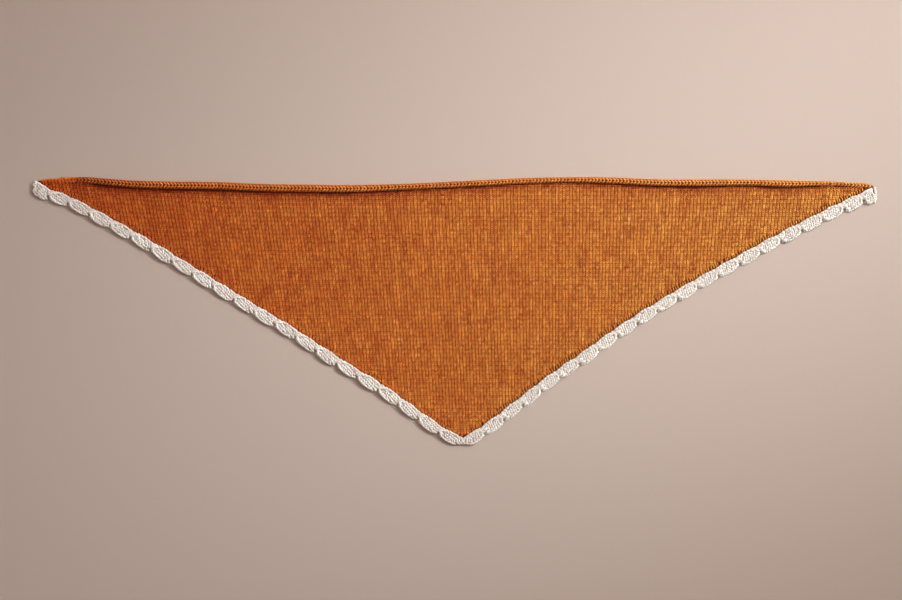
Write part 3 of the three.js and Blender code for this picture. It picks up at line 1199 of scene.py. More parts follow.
    def edge_stitches(self, side: Side, random: Random) -> Strands:
        """The longer stitches beside a seam: single strands that stand apart, so that dark slits
        show between them. On the left they are thicker, and close up.

        Args:
            side: Which seam.
            random: The source of the small differences.

        Returns:
            The strands.
        """
        seam, row = SEAMS[side], EDGE_ROWS[side]
        slip_far, slip_in, slip_long, slip_high = self.edge_slip
        far = np.arange(self.edge_clear, seam.length - self.edge_clear, row.pitch)
        count = len(far)
        far = far + random.normal(0, slip_far, count)
        out = seam.out(far)
        way = out * self.edge_way[0] + np.array([0.0, -1.0]) * self.edge_way[1]
        way /= np.linalg.norm(way, axis=1, keepdims=True)
        middle = seam.at(far) - out * (row.inside + random.normal(0, slip_in, count))[:, None]
        long = (row.long + random.normal(0, slip_long, count))[:, None]
        long = long * np.array(row.ALONG)
        xy = middle[:, None] + way[:, None] * long[:, :, None]
        z = self.surface(xy[..., 0], xy[..., 1]) + np.array(row.DEEP)
        z = z + random.normal(0, slip_high, count)[:, None]
        centres = np.concatenate([xy, z[..., None]], axis=-1)
        tone = random.normal(row.tone, self.edge_tone_spread, count)
        return Strands.laid(centres, row.half, row.half * self.edge_tall, tone)

    def build(self, random: Random) -> None:
        """Args:
            random: The source of the small differences.
        """
        # The panel's cloth is all in the colour of painted shade, standing for the shade between
        # the stitches.
        cloth = painted_shade_body(self.body())
        body = Piece("panel_cloth", cloth, RUST, "rust_panel")
        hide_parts("main_panel")
        legs = self.stitches(random)
        order = np.argsort(legs.centres[:, 1, 0])
        for number, chosen in enumerate(np.array_split(order, self.strips)):
            name = f"panel_stitches_{number + 1}"
            Piece(name, legs.chosen(chosen).mesh(), RUST, "rust_panel").object
        for side in Side:
            name = f"panel_edge_stitches_{side.value}"
            band = self.edge_stitches(side, random).mesh()
            Piece(name, band, RUST, "rust_panel").object
        area = self.flat_area()

    def flat_area(self) -> float:
        """The panel's flat area in square metres: its depth summed along the long edge."""
        x = np.linspace(LEFT_SEAM.start, RIGHT_SEAM.end, 2000)
        return float(np.trapz(self.top(x) - self.bottom(x), x)) * MM * MM


# The cord


@dataclass(frozen=True)
class ChainLeg:
    """The path of one leg of the cord's chain: along the cord in reaches, round it in degrees
    from the crest, and its share of the cord's full size."""

    along: tuple[float, ...]
    angle: tuple[float, ...]
    share: tuple[float, ...]


CHAIN = (
    ChainLeg((0.4, 0.15, -0.55, -0.9), (-4, 12, 48, 70), (0.6, 0.84, 0.84, 0.56)),
    ChainLeg((-0.9, -0.6, 0.0, 0.3), (60, 78, 108, 126), (0.56, 0.82, 0.82, 0.56)),
)


@dataclass
class Cord:
    """The knitted cord along the long edge: a body, and a chain of stitches round it."""

    tall_share: float = 0.84
    flat_share: float = 0.34
    body_share: float = 0.82
    body_step: float = 4.0
    body_sides: int = 16
    stitch_pitch: float = 3.97
    arm_reach: float = 3.5
    yarn_half: float = 1.0
    yarn_high: float = 1.0
    crest_turn: float = -8.0
    rise_start: float = -448.0
    rise_long: float = 50.0
    chain_start: float = -444.0
    chain_clear: float = 3.0
    chain_grow: float = 110.0
    usual_wide: float = 8.2
    size_limits: tuple[float, float] = (0.3, 1.05)
    size_power: float = 0.7
    tone: tuple[float, float] = (0.5, 0.5)
    end_clear: float = 0.5
    slip: tuple[float, float] = (0.15, 0.04)
    rim_pitch: float = 2.2
    rim_span: tuple[float, float] = (3.5, 10.0)
    rim_in: float = 0.75
    rim_lift: float = 0.6
    rim_slip: float = 0.06
    rim_size: tuple[float, float] = (0.8, 0.7)
    rim_tone: tuple[float, float] = (0.8, 0.4)

    def section(self, x: Grid) -> tuple[Grid, Grid, Grid]:
        """The middle's y, the half width and the height of the cord at x."""
        half = CORD_EDGE(x, 2) / 2
        return CORD_EDGE(x) - half, half, 2 * half * self.tall(x)

    def tall(self, x: Grid) -> Grid:
        """The cord's height as a share of its width, which rises evenly from the flat left tip."""
        rolled = np.clip((x - self.rise_start) / self.rise_long, 0, 1)
        return self.flat_share + (self.tall_share - self.flat_share) * rolled

    def around(self, x: Grid, angle: Grid, share: Grid) -> Grid:
        """Points round the cord.

        The section is an ellipse that stands on the surface. A point lies at its middle plus
        the half width times the sine of the angle from the crest, and plus the half height
        times its cosine, both times the share of the full size.

        Args:
            x: Along the cord.
            angle: From the crest, towards +Y, in radians.
            share: 1 on the cord's own outline, and less inside it.

        Returns:
            Points (..., 3).
        """
        middle, half, tall = self.section(x)
        y = middle + half * share * np.sin(angle)
        z = tall / 2 + tall / 2 * share * np.cos(angle)
        return np.stack([x + 0 * angle, y, np.maximum(z, 0)], axis=-1)

    def body(self) -> tuple[Grid, Grid]:
        """The cord's body, under its stitches, as sections along it. Its underside is flat.

        Returns:
            Points and faces.
        """
        start, end = CORD_EDGE.start + self.end_clear, CORD_EDGE.end - self.end_clear
        x = np.linspace(start, end, int((end - start) / self.body_step))[:, None]
        angle = np.linspace(0, 2 * np.pi, self.body_sides, endpoint=False)[None, :]
        x = np.broadcast_to(x, (len(x), self.body_sides))
        points = self.around(x, angle, self.body_share)
        low = np.cos(angle) < -0.7
        points[..., 2] = np.where(low, 0, points[..., 2])
        return loft(points)

    def stitches(self, random: Random) -> Strands:
        """The chain's legs, in two rings on each side of the crest.

        A leg of the first ring runs from its stitch's point on the crest back and down the
        cord's side, and one of the second ring runs on again and round it.

        Args:
            random: The source of the small differences.

        Returns:
            The legs.
        """
        start, end = CORD_EDGE.start + self.end_clear, CORD_EDGE.end - self.end_clear
        x = np.arange(self.chain_start, CORD_EDGE.end - self.chain_clear, self.stitch_pitch)
        count = len(x)
        slip = random.normal(0, self.slip[0], count)[:, None]
        turn_slip = random.normal(0, self.slip[1], count)[:, None]
        legs, ups, tones = [], [], []
        for leg in CHAIN:
            px = np.clip(x[:, None] + self.arm_reach * np.array(leg.along) + slip, start, end)
            for side in (-1, 1):
                turn = side * np.radians(leg.angle) + np.radians(self.crest_turn) + turn_slip
                legs.append(self.around(px, turn, np.array(leg.share) + 0 * px))
                mean = turn[:, 1:3].mean(axis=1)
                ups.append(np.stack([0 * mean, np.sin(mean), np.cos(mean)], axis=-1))
                tones.append(random.normal(*self.tone, count))
        size = np.clip(CORD_EDGE(x, 2) / self.usual_wide, *self.size_limits) ** self.size_power
        grown = [self.chain_start, self.chain_start + self.chain_grow]
        size = np.tile(size * np.interp(x, grown, [0.5, 1.0]), 4)[:, None]
        wide, high = self.yarn_half * size, self.yarn_high * size
        return Strands.laid(
            np.concatenate(legs), wide, high, np.concatenate(tones), np.concatenate(ups)
        )

    def flat_rim(self, random: Random) -> Strands:
        """The fold along the outer edge of the cord's flat end: strands laid end to end.

        Args:
            random: The source of the small differences.

        Returns:
            The strands.
        """
        start, past = self.rim_span
        x = np.arange(CORD_EDGE.start + start, self.chain_start + past, self.rim_pitch)
        count = len(x)
        px = x[:, None] + np.array([-2.2, -0.9, 0.9, 2.2])
        middle, half, tall = self.section(px)
        y = middle + half - self.rim_in + random.normal(0, self.rim_slip, count)[:, None]
        z = tall / 2 + self.rim_lift + np.array([-0.6, 0.0, 0.0, -0.6])
        tone = random.normal(*self.rim_tone, count)
        return Strands.laid(np.stack([px, y, z], axis=-1), *self.rim_size, tone, (0.0, 0.5, 1.0))

    def build(self, random: Random) -> None:
        """Makes the cord's piece.

        Args:
            random: The source of the small differences.
        """
        strands = [self.stitches(random).mesh(), self.flat_rim(random).mesh()]
        # The cord's body is all in the colour of painted shade, standing for the shade between its
        # stitches.
        mesh = joined([painted_shade_body(self.body()), *strands])
        piece = Piece("knitted_cord", mesh, RUST_CORD, "rust_cord")
        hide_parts("top_cord")


# The edging


@dataclass(frozen=True)
class Loop:
    """One kind of short strand on the edging: its length, its half width, its height above the
    surface and its tone, and how far its tone, its height, its slope and its place vary."""

    long: float
    half: float
    lift: float
    tone: float
    tone_spread: float
    lift_spread: float
    slope_spread: float = 0.0
    far_spread: float = 0.0
    deep_spread: float = 0.0

    # A loop's rings: where they lie along it, how far they drop, and their half widths.
    ALONG = (-0.5, -0.39, -0.16, 0.16, 0.39, 0.5)
    DROP = (-1.0, -0.4, 0.0, 0.0, -0.4, -1.0)
    WIDE = (1.0, 0.74, 1.0, 1.0, 0.74, 1.0)
    TALL = 0.9
    SUNK = 0.45
    LOWEST = 0.3

    def lifts(self, random: Random, count: int) -> Grid:
        """Heights above the surface, each a little different."""
        return self.lift + random.normal(0, self.lift_spread, count)


BUMP = Loop(3.9, 1.48, 0.0, 0.0, 1.0, 0.15, 0.12, far_spread=0.25, deep_spread=0.2)
SEAM_LOOP = Loop(4.9, 1.5, 0.6, 0.3, 0.6, 0.1, 0.15, far_spread=0.25, deep_spread=0.15)
OUTER_LOOP = Loop(2.7, 1.15, 0.4, 0.5, 0.8, 0.12, 0.25, far_spread=0.3, deep_spread=0.3)
RIM_LOOP = Loop(3.4, 1.2, 0.8, 0.8, 0.5, 0.08)
SMOOTH_STRAND = Loop(6.0, 1.7, 0.7, 1.5, 0.3, 0.08, 0.12)


@dataclass
class Edging:
    """The scalloped edging of one lower side.

    Lengths run along the seam. first, pitch, crowd and pulled place the pinches between the
    scallops. pinch is the depth there, and full_side, full_point and full_last are the depths
    of the scallops beside the side tip, beside the point, and on the tip itself. tip_depth and
    point_depth are the depths at the seam's two ends. fan is a table of distance past the side
    tip, turn in degrees and depth. The hollow inside each rim lies at a share of the scallop.
    """

    side: Side
    first: float
    pitch: float
    crowd: float
    pulled: float
    flatness: float
    pinch: float
    full_side: float
    full_point: float
    full_last: float
    tip_depth: float
    point_depth: float
    fan: tuple[tuple[float, float, float], ...]
    hollow_at: float
    hollow_deep: float
    smooth_start: bool
    body_below: float = 1.45
    slant: float = 14.0
    twist: float = 0.6
    bump_pitch: float = 2.95
    line_pitch: float = 2.7

    SCALLOPS = 21
    THICK = 3.4
    PINCH_THICK = 2.8
    SKEW = 0.07
    SLOWNESS = 3
    # How far the scallops' depths differ, by a sine of their number, and its step.
    UNEVEN = (0.035, 2.4)
    MITRE = 24.0
    # The section: shares of the depth, and the height there as a share of the thickness.
    SURFACE_OUT = (-0.3, 0.0, 0.2, 0.55, 0.86, 1.0)
    SURFACE_UP = (0.76, 0.82, 0.94, 1.0, 0.86, 0.45)
    HOLLOW_SIZE = (0.08, 0.27)
    PINCH_DIP = (0.5, 0.05)
    BODY_OUT = (0.06, 0.86, 0.94, 0.84, 0.7, 0.5, 0.3, 0.15, 0.03)
    BODY_SHARE = 0.92
    BODY_SECTIONS = 26
    # A rim's path, at shares of its length: shares of the scallop's length and depth.
    RIM_AT = (0, 0.2, 0.4, 0.6, 0.8, 1)
    RIM_ALONG = (0.24, 0.09, 0.05, 0.14, 0.36, 0.62)
    RIM_OUT = (0.16, 0.26, 0.56, 0.82, 0.9, 0.92)
    RIM_COUNT = 11
    STRIP_AT = (483.2, 141.4, 2.6)
    STRIP_LONG = 15.4
    STRIP_LOOPS = 7
    WRAPS_AT = (-1.9, 0.0, 1.8)
    SMOOTH_FAR = (3.2, 4.4)
    SMOOTH_OUT = (0.42, 0.74)
    SMOOTH_TURN = (-14.0, 12.0)
    KNIT_FROM_SEAM = 1.5
    KNIT_FROM_EDGE = 1.6
    KNIT_FROM_PINCH = 1.7
    KNIT_FROM_END = 3.0
    SEAM_LOOPS = (6, 0.12, 0.9)
    SEAM_LOOP_TURN = 14.0
    OUTER_LOOPS = (9, 0.1, 0.93)
    OUTER_LOOP_IN = 0.9
    OUTER_LOOP_TURN = 0.3

    def __post_init__(self) -> None:
        """Works out the pinches' places."""
        self.seam = SEAMS[self.side]
        self.tip_first = self.side is Side.LEFT
        i = np.arange(self.SCALLOPS - 1)
        last = self.SCALLOPS - 2
        inner = self.first + self.pitch * i + self.crowd * np.sin(np.pi * i / last)
        inner[0 if self.tip_first else last] += self.pulled
        self.bounds = np.concatenate([[0.0], inner, [self.seam.length]])

    def shares(self, far: Grid) -> tuple[Grid, Grid]:
        """The scallop that holds each place along the seam, and the share of the way along it.

        Args:
            far: Distances along the seam.

        Returns:
            Numbers of scallops, and shares from 0 to 1.
        """
        k = np.clip(np.searchsorted(self.bounds, far, side="right") - 1, 0, self.SCALLOPS - 1)
        u = (far - self.bounds[k]) / (self.bounds[k + 1] - self.bounds[k])
        return k, np.clip(u, 0, 1)

    def depth(self, far: Grid) -> tuple[Grid, Grid]:
        """How deep and how thick the edging is along the seam.

        A scallop swells from a pinch by the root of one minus a power of the distance from its
        middle. It is a little deeper at the end nearer the point, and the one beside the point
        closes slowly there. Past the side tip the depth follows the fan's table.

        Args:
            far: Distances along the seam.

        Returns:
            Depth and thickness.
        """
        k, u = self.shares(far)
        from_side = k if self.tip_first else self.SCALLOPS - 1 - k
        along = u if self.tip_first else 1 - u
        swelling = np.sqrt(np.clip(1 - np.abs(2 * u - 1) ** self.flatness, 0, 1))
        run = from_side / (self.SCALLOPS - 1)
        usual = self.full_side + (self.full_point - self.full_side) * run
        full = usual * (1 + self.UNEVEN[0] * np.sin(self.UNEVEN[1] * k))
        full = np.where(from_side == 0, self.full_last, full)
        at_side = (from_side == 0) & (along < 0.5)
        at_point = (from_side == self.SCALLOPS - 1) & (along > 0.5)
        rest = np.where(at_side, self.tip_depth, np.where(at_point, self.point_depth, self.pinch))
        skew = 1 + self.SKEW * (2 * along - 1) * swelling
        share = np.where(at_point, swelling**self.SLOWNESS, swelling)
        deep = (rest + (full - rest) * share) * skew
        past = self.past_tip(far)
        reach, _, fan_depth = np.array(self.fan).T
        deep = np.where(past > 0, np.interp(past, reach, fan_depth), deep)
        thick = self.PINCH_THICK + (self.THICK - self.PINCH_THICK) * swelling
        return deep, thick

    def past_tip(self, far: Grid) -> Grid:
        """How far a place lies past the side tip, or 0."""
        past = -far if self.tip_first else far - self.seam.length
        return np.clip(past, 0, None)

    def way(self, far: Grid) -> Grid:
        """The direction out of the seam: square to it, turned to the mitre beside the point,
        and turned round the side tip past the seam's end.

        Args:
            far: Distances along the seam.

        Returns:
            Unit directions (..., 2).
        """
        held = np.clip(far, 0, self.seam.length)
        out = self.seam.out(held)
        point = self.seam.length if self.tip_first else 0.0
        mitre = (1 - np.minimum(1, np.abs(held - point) / self.MITRE))[..., None] ** 2
        way = out * (1 - mitre) + np.array([0.0, -1.0]) * mitre
        way /= np.linalg.norm(way, axis=-1, keepdims=True)
        reach, turn, _ = np.array(self.fan).T
        angle = np.radians(np.interp(self.past_tip(far), reach, turn)) * -self.side.run
        cos, sin = np.cos(angle), np.sin(angle)
        return np.stack(
            [way[..., 0] * cos - way[..., 1] * sin, way[..., 0] * sin + way[..., 1] * cos], axis=-1
        )

    def place(self, far: Grid, deep: Grid, z: Grid) -> Grid:
        """Points on the edging, held on its own side of the point.

        Args:
            far: Distances along the seam.
            deep: Depths out of it.
            z: Heights.

        Returns:
            Points (..., 3).
        """
        held = np.clip(far, 0, self.seam.length)
        xy = self.seam.at(held) + self.way(far) * deep[..., None]
        edge = POINT_X - 0.15 * self.side.run
        clip = np.minimum if self.tip_first else np.maximum
        xy[..., 0] = clip(xy[..., 0], edge)
        return np.concatenate([xy, z[..., None]], axis=-1)

    def from_side(self, far: Grid) -> Grid:
        """The share of the way along its scallop, from the side-tip end to the point end."""
        _, u = self.shares(far)
        return u if self.tip_first else 1 - u

    def high(self, far: Grid, deep: Grid) -> Grid:
        """Height of the knit's surface.

        It follows the section's outline, sinks in a bell-shaped hollow inside the rim at the
        side-tip end, and dips beside each pinch.

        Args:
            far: Distances along the seam.
            deep: Depths out of the seam.

        Returns:
            Heights.
        """
        depth, thick = self.depth(far)
        out = deep / depth
        a = self.from_side(far)
        hollow_long, hollow_wide = self.HOLLOW_SIZE
        dip, dip_long = self.PINCH_DIP
        bell = ((a - self.hollow_at) / hollow_long) ** 2
        hollow = np.exp(-bell - ((out - 0.5) / hollow_wide) ** 2)
        pinch = np.exp(-((np.minimum(a, 1 - a) / dip_long) ** 2))
        plain = thick * np.interp(out, self.SURFACE_OUT, self.SURFACE_UP)
        return plain - self.hollow_deep * hollow - dip * pinch

    def along_scallops(self, count: int, start: float, end: float) -> Grid:
        """Places along every scallop: so many in each, between two shares of the way from its
        side-tip end to its point end.

        Args:
            count: Places in each scallop.
            start: The first share.
            end: The last share.

        Returns:
            Distances along the seam (scallops, count).
        """
        share = np.linspace(start, end, count)
        if not self.tip_first:
            share = 1 - share
        low, high = self.bounds[:-1, None], self.bounds[1:, None]
        return low + (high - low) * share[None]

    def body(self) -> tuple[Grid, Grid]:
        """The edging's cloth under its strands, as sections along the seam.

        Returns:
            Points and faces.
        """
        reach = self.fan[-1][0]
        start = -reach if self.tip_first else 0.0
        end = self.seam.length if self.tip_first else self.seam.length + reach
        far = np.linspace(start, end, self.SCALLOPS * self.BODY_SECTIONS)[:, None]
        out = np.array(self.BODY_OUT)[None]
        deep, _ = self.depth(far)
        deep = SEAM_GAP + out * (deep * self.BODY_SHARE - SEAM_GAP)
        far = far + 0 * out
        z = np.clip(self.high(far, deep) - self.body_below, 0.5, None)
        z[:, :2] = 0
        return loft(self.place(far, deep, z))

    def strands(
        self, kind: Loop, far: Grid, deep: Grid, slope: Grid, lift: Grid, random: Random
    ) -> Strands:
        """Short strands on the edging's surface.

        A strand lies round its middle, along the seam by the cosine of its slope and out of it
        by the sine. Its ends go down into the cloth.

        Args:
            kind: The strands' sizes, and how far their tone varies.
            far: The middles' distances along the seam.
            deep: The middles' depths out of the seam.
            slope: Angles from the seam, towards the outer edge, in radians.
            lift: How high the middles stand above the surface.
            random: The source of the tones' differences.

        Returns:
            The strands.
        """
        along, drop = np.array(kind.ALONG)[None] * kind.long, np.array(kind.DROP)[None] * kind.half
        wide = np.array(kind.WIDE) * kind.half
        f = far[:, None] + along * np.cos(slope)[:, None]
        d = deep[:, None] + along * np.sin(slope)[:, None]
        z = self.high(f, d) - kind.SUNK * kind.half + lift[:, None] + drop
        centres = self.place(f, d, np.maximum(z, kind.LOWEST))
        tone = random.normal(kind.tone, kind.tone_spread, len(far))
        return Strands.laid(centres, wide, wide * kind.TALL, tone)

    def scattered(self, kind: Loop, far: Grid, deep: Grid, slope: float, random: Random) -> Strands:
        """Strands of one kind whose depth, height, slope and tone each vary a little.

        Args:
            kind: The strands' sizes, and how far they vary.
            far: The middles' distances along the seam.
            deep: The middles' usual depths out of the seam.
            slope: Their usual angle from the seam, in radians.
            random: The source of the small differences.

        Returns:
            The strands.
        """
        count = len(far)
        deep = deep + random.normal(0, kind.deep_spread, count)
        lift = kind.lifts(random, count)
        slope = slope + random.normal(0, kind.slope_spread, count)
        return self.strands(kind, far, deep, slope, lift, random)

    def build(self, random: Random) -> None:
        """Makes the edging's pieces.

        Args:
            random: The source of the small differences.
        """
        groups = [self.knit, self.seam_loops, self.outer_loops, self.rims]
        if self.smooth_start:
            groups += [self.smooth_starts, self.tip_strip]
        # The edging's body is all in the colour of painted shade, standing for the shade between
        # its strands.
        parts = [painted_shade_body(self.body()), *(group(random).mesh() for group in groups)]
        name = self.side.value
        knit = Piece(f"edging_{name}_knit", joined(parts), CREAM, "cream_edging")
        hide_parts(f"edging_{name}")
        Piece(f"edging_{name}_wraps", self.wraps(random).mesh(), PINK_CREAM, "cream_edging")

    def knit(self, random: Random) -> Strands:
        """The knit of the scallops: close lines of small bumps that slant outwards on their way
        to the point. Each line's bumps lie beside the gaps of the next line's.

        Args:
            random: The source of the small differences.

        Returns:
            The bumps.
        """
        angle = np.radians(self.slant) * self.side.run
        reach = self.fan[-1][0]
        span = self.seam.length + 2 * reach
        number = np.arange(-int(span / self.line_pitch), int(span / self.line_pitch))
        step = np.arange(-int(0.1 * span), int(span / self.bump_pitch))
        line, bump = (grid.ravel() for grid in np.meshgrid(number, step))
        run = (bump + 0.5 * (line % 2)) * self.bump_pitch
        side = line * self.line_pitch
        far = run * np.cos(angle) - side * np.sin(angle)
        deep = run * np.sin(angle) + side * np.cos(angle)
        low = -reach if self.tip_first else self.KNIT_FROM_END
        high = self.seam.length + (-self.KNIT_FROM_END if self.tip_first else 0.5)
        inside = (far > low) & (far < high) & (deep > self.KNIT_FROM_SEAM)
        far, deep = far[inside], deep[inside]
        inside = deep < self.depth(far)[0] - self.KNIT_FROM_EDGE
        inside &= np.abs(far[:, None] - self.bounds[1:-1]).min(axis=1) > self.KNIT_FROM_PINCH
        far, deep = far[inside], deep[inside]
        far = far + random.normal(0, BUMP.far_spread, len(far))
        return self.scattered(BUMP, far, deep, angle + self.side.run * self.twist, random)

    def seam_loops(self, random: Random) -> Strands:
        """The rounded loops along the seam. They lie a little over the panel in the middle of a
        scallop, and further out beside a pinch.

        Args:
            random: The source of the small differences.

        Returns:
            The loops.
        """
        far = self.along_scallops(*self.SEAM_LOOPS).ravel()
        far = far + random.normal(0, SEAM_LOOP.far_spread, len(far))
        _, u = self.shares(far)
        deep = 1.5 - 1.3 * (1 - np.abs(2 * u - 1) ** 1.5)
        slope = self.side.run * np.radians(self.SEAM_LOOP_TURN)
        return self.scattered(SEAM_LOOP, far, deep, slope, random)

    def outer_loops(self, random: Random) -> Strands:
        """The knobbly loops along the outer edge.

        Args:
            random: The source of the small differences.

        Returns:
            The loops.
        """
        far = self.along_scallops(*self.OUTER_LOOPS).ravel()
        far = far + random.normal(0, OUTER_LOOP.far_spread, len(far))
        deep = self.depth(far)[0] - self.OUTER_LOOP_IN
        slope = self.side.run * self.OUTER_LOOP_TURN
        return self.scattered(OUTER_LOOP, far, deep, slope, random)

    def rims(self, random: Random) -> Strands:
        """The raised rim of each scallop, which curves round its side-tip end from the seam to
        the outer edge, and runs on along it. The left tip's own scallop has none.

        Args:
            random: The source of the small differences.

        Returns:
            The strands.
        """
        q = np.linspace(0, 1, self.RIM_COUNT)
        a = np.interp(q, self.RIM_AT, self.RIM_ALONG)
        out = np.interp(q, self.RIM_AT, self.RIM_OUT)
        first = 1 if self.tip_first else 0
        low, high = self.bounds[first:-1, None], self.bounds[first + 1 :, None]
        t = a if self.tip_first else 1 - a
        far = low + (high - low) * t[None]
        deep = out[None] * self.depth(far)[0]
        slope = np.arctan2(np.gradient(deep, axis=1), np.gradient(far, axis=1))
        far, deep, slope = far.ravel(), deep.ravel(), slope.ravel()
        return self.strands(RIM_LOOP, far, deep, slope, RIM_LOOP.lifts(random, len(far)), random)

    def smooth_starts(self, random: Random) -> Strands:
        """The two thick, smooth strands that start each scallop beside the pinch at its point
        end.

        Args:
            random: The source of the small differences.

        Returns:
            The strands.
        """
        kind, pinches = SMOOTH_STRAND, self.bounds[1:-1]
        far = (pinches[:, None] + np.array([self.SMOOTH_FAR])).ravel()
        deep = np.tile(self.SMOOTH_OUT, len(pinches)) * self.depth(far)[0]
        slope = np.tile(np.radians(self.SMOOTH_TURN), len(pinches))
        slope = slope + random.normal(0, kind.slope_spread, len(far))
        return self.strands(kind, far, deep, slope, kind.lifts(random, len(far)), random)

    def tip_strip(self, random: Random) -> Strands:
        """The folded strip that closes the edging at the side tip: a chain of loops on a shallow
        curve, which is a parabola.

        Args:
            random: The source of the small differences.

        Returns:
            The loops.
        """
        t = np.linspace(0, 1, self.STRIP_LOOPS)
        x = self.STRIP_AT[0] - (2 * t - 0.9) ** 2
        y = self.STRIP_AT[1] - self.STRIP_LONG * t
        along = np.array([-2.2, -0.9, 0.9, 2.2])
        wave = random.normal(0, 0.15, (2, self.STRIP_LOOPS))
        px = x[:, None] + 0.12 * along * (2 * t - 1)[:, None] + wave[0][:, None]
        py = y[:, None] - along
        pz = self.STRIP_AT[2] + np.array([-1.0, 0.0, 0.0, -1.0]) + wave[1][:, None]
        tone = random.normal(0.5, 0.4, self.STRIP_LOOPS)
        return Strands.laid(np.stack([px, py, pz], axis=-1), 1.7, 1.3, tone)

    def wraps(self, random: Random) -> Strands:
        """The strands that wrap each pinch and the point, over the edging from the seam to the
        notch. Their height is the root of one minus a fourth power of the way across.

        Args:
            random: The source of the small differences.

        Returns:
            The strands.
        """
        at_point = -1 if self.tip_first else 0
        pinch = np.append(self.bounds[1:-1], self.bounds[at_point])[:, None, None]
        offset = np.array(self.WRAPS_AT)[None, :, None]
        t = np.linspace(0, 1, 8)[None, None, :]
        cross = random.normal(0, 0.35, (len(pinch), 3, 1))
        far = pinch + offset * (1 - 0.4 * t) + cross * (2 * t - 1)
        depth, thick = self.depth(pinch)
        deep = -0.4 + (depth + 0.5) * t + 0 * far
        arch = np.sqrt(np.clip(1 - np.abs(2 * t - 0.94) ** 4, 0, 1))
        z = (thick + 0.15) * arch + random.normal(0, 0.12, (len(pinch), 3, 1)) + 0 * far
        far, deep, z = (v.reshape(-1, t.size) for v in (far, deep, z))
        centres = self.place(far, deep, np.maximum(z, 0.4))
        return Strands.laid(centres, 0.8, 0.8, random.normal(0.3, 0.5, len(centres)))


# The stage


@dataclass(frozen=True)
class SoftBox:
    """A square soft light, given by the place that it faces, the direction that it comes from,
    its distance, its width, the spread of its beam, its power and its colour."""

    name: str
    aim: tuple[float, float]
    azimuth: float
    elevation: float
    away: float
    wide: float
    spread: float
    power: float
    colour: Colour

    def build(self) -> None:
        """Makes the light. It is hidden from the camera itself."""
        flat, rise = np.radians([self.azimuth, self.elevation])
        way = np.array([np.cos(rise) * np.cos(flat), np.cos(rise) * np.sin(flat), np.sin(rise)])
        data = bpy.data.lights.new(self.name, "AREA")
        data.shape = "SQUARE"
        data.size = self.wide * MM
        data.spread = np.radians(self.spread)
        data.energy = self.power
        data.color = self.colour
        lamp = bpy.data.objects.new(self.name, data)
        lamp.location = (np.array([*self.aim, 0.0]) + way * self.away) * MM
        lamp.rotation_euler = Vector(way).to_track_quat("Z", "Y").to_euler()
        lamp.visible_camera = False
        bpy.context.scene.collection.objects.link(lamp)


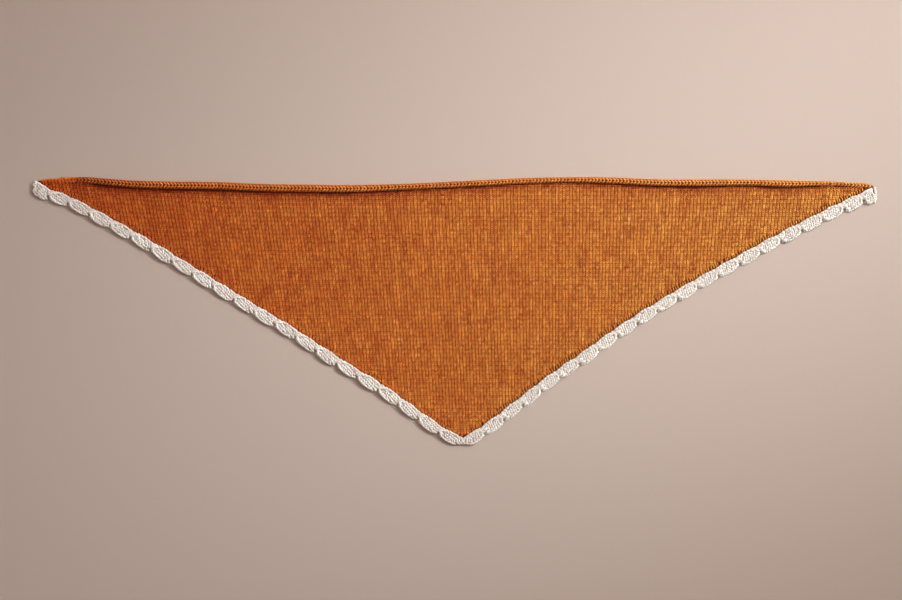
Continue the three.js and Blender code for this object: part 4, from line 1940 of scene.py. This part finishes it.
@dataclass(frozen=True)
class Studio:
    """The pale surface, the soft light from the upper right, and the camera above.

    The camera's picture is view_wide across, and its middle lies at view_x and view_y.
    """

    view_wide: float = 1037.3
    view_x: float = -4.83
    view_y: float = 13.05
    lens: float = 200.0
    sensor: float = 36.0
    floor_wide: float = 9000.0
    fill: float = 0.345
    fill_colour: Colour = (1.0, 0.82, 0.725)
    lights: tuple[SoftBox, ...] = (
        SoftBox(
            "large_soft_box",
            aim=(0, 0),
            azimuth=46,
            elevation=38,
            away=2600,
            wide=1400,
            spread=180,
            power=34.3,
            colour=(1.0, 0.945, 0.9),
        ),
        SoftBox(
            "narrow_soft_box",
            aim=(215, 155),
            azimuth=24,
            elevation=30,
            away=2400,
            wide=700,
            spread=25,
            power=2.25,
            colour=(1.0, 1.08, 1.1),
        ),
    )

    def build(self) -> None:
        """Makes the surface, the lights, the fill and the camera."""
        self.floor()
        for light in self.lights:
            light.build()
        self.fill_light()
        self.camera()

    def floor(self) -> None:
        """A plain flat surface, with a faint grain."""
        half = self.floor_wide / 2 * MM
        mesh = bpy.data.meshes.new("surface")
        corners = [(-half, -half, 0), (half, -half, 0), (half, half, 0), (-half, half, 0)]
        mesh.from_pydata(corners, [], [(0, 1, 2, 3)])
        made = bpy.data.materials.new("pale_paper")
        made.use_nodes = True
        w = Wiring(made.node_tree)
        place = w.add("ShaderNodeTexCoord").outputs["Object"]
        dark, pale = (*linear(191, 173, 163), 1.0), (*linear(194, 177, 167), 1.0)
        colour = w.mix("MIX", w.noise(place, 900.0, 2.0), dark, pale)
        shader = w.add(
            "ShaderNodeBsdfPrincipled",
            {"Base Color": colour, "Roughness": 0.9, "Specular IOR Level": 0.1},
        )
        w.add("ShaderNodeOutputMaterial", {"Surface": shader.outputs[0]})
        mesh.materials.append(made)
        surface = bpy.data.objects.new("surface", mesh)
        bpy.context.scene.collection.objects.link(surface)

    def fill_light(self) -> None:
        """An even fill from all round."""
        world = bpy.data.worlds.new("fill")
        world.use_nodes = True
        w = Wiring(world.node_tree)
        colour = (*self.fill_colour, 1.0)
        sky = w.add("ShaderNodeBackground", {"Color": colour, "Strength": self.fill})
        w.add("ShaderNodeOutputWorld", {"Surface": sky.outputs[0]})
        bpy.context.scene.world = world
        bpy.context.scene.view_settings.view_transform = "Standard"

    def camera(self) -> None:
        """A long lens straight above the middle of the picture."""
        data = bpy.data.cameras.new("camera")
        data.lens = self.lens
        data.sensor_width = self.sensor
        data.clip_end = 50.0
        high = self.view_wide * self.lens / self.sensor * MM
        camera = bpy.data.objects.new("camera", data)
        camera.location = (self.view_x * MM, self.view_y * MM, high)
        bpy.context.scene.collection.objects.link(camera)
        bpy.context.scene.camera = camera


EDGINGS = (
    Edging(
        Side.LEFT,
        first=15.6,
        pitch=27.85,
        crowd=-3.0,
        pulled=3.4,
        flatness=2.2,
        pinch=7.7,
        full_side=12.2,
        full_point=12.0,
        full_last=14.2,
        tip_depth=9.8,
        point_depth=6.4,
        fan=((0, 0, 9.8), (2.5, 21, 7.2), (5.5, 52, 4.0), (8.5, 84, 1.9)),
        hollow_at=0.2,
        hollow_deep=0.9,
        smooth_start=False,
    ),
    Edging(
        Side.RIGHT,
        first=23.4,
        pitch=27.19,
        crowd=-0.6,
        pulled=-2.7,
        flatness=2.3,
        pinch=7.9,
        full_side=13.0,
        full_point=12.4,
        full_last=15.6,
        tip_depth=14.6,
        point_depth=6.4,
        fan=((0, 0, 14.6), (1.0, 5, 13.4), (3.5, 21, 9.8), (7.0, 46, 6.4), (9.0, 62, 4.6)),
        hollow_at=0.15,
        hollow_deep=1.0,
        smooth_start=True,
    ),
)


def main() -> None:
    """Builds the bandana and its stage."""
    logging.basicConfig(level=logging.INFO, format="%(name)s: %(message)s")
    random = np.random.default_rng(SEED)
    Studio().build()
    Panel().build(random)
    Cord().build(random)
    for edging in EDGINGS:
        edging.build(random)


if __name__ == "__main__":
    main()
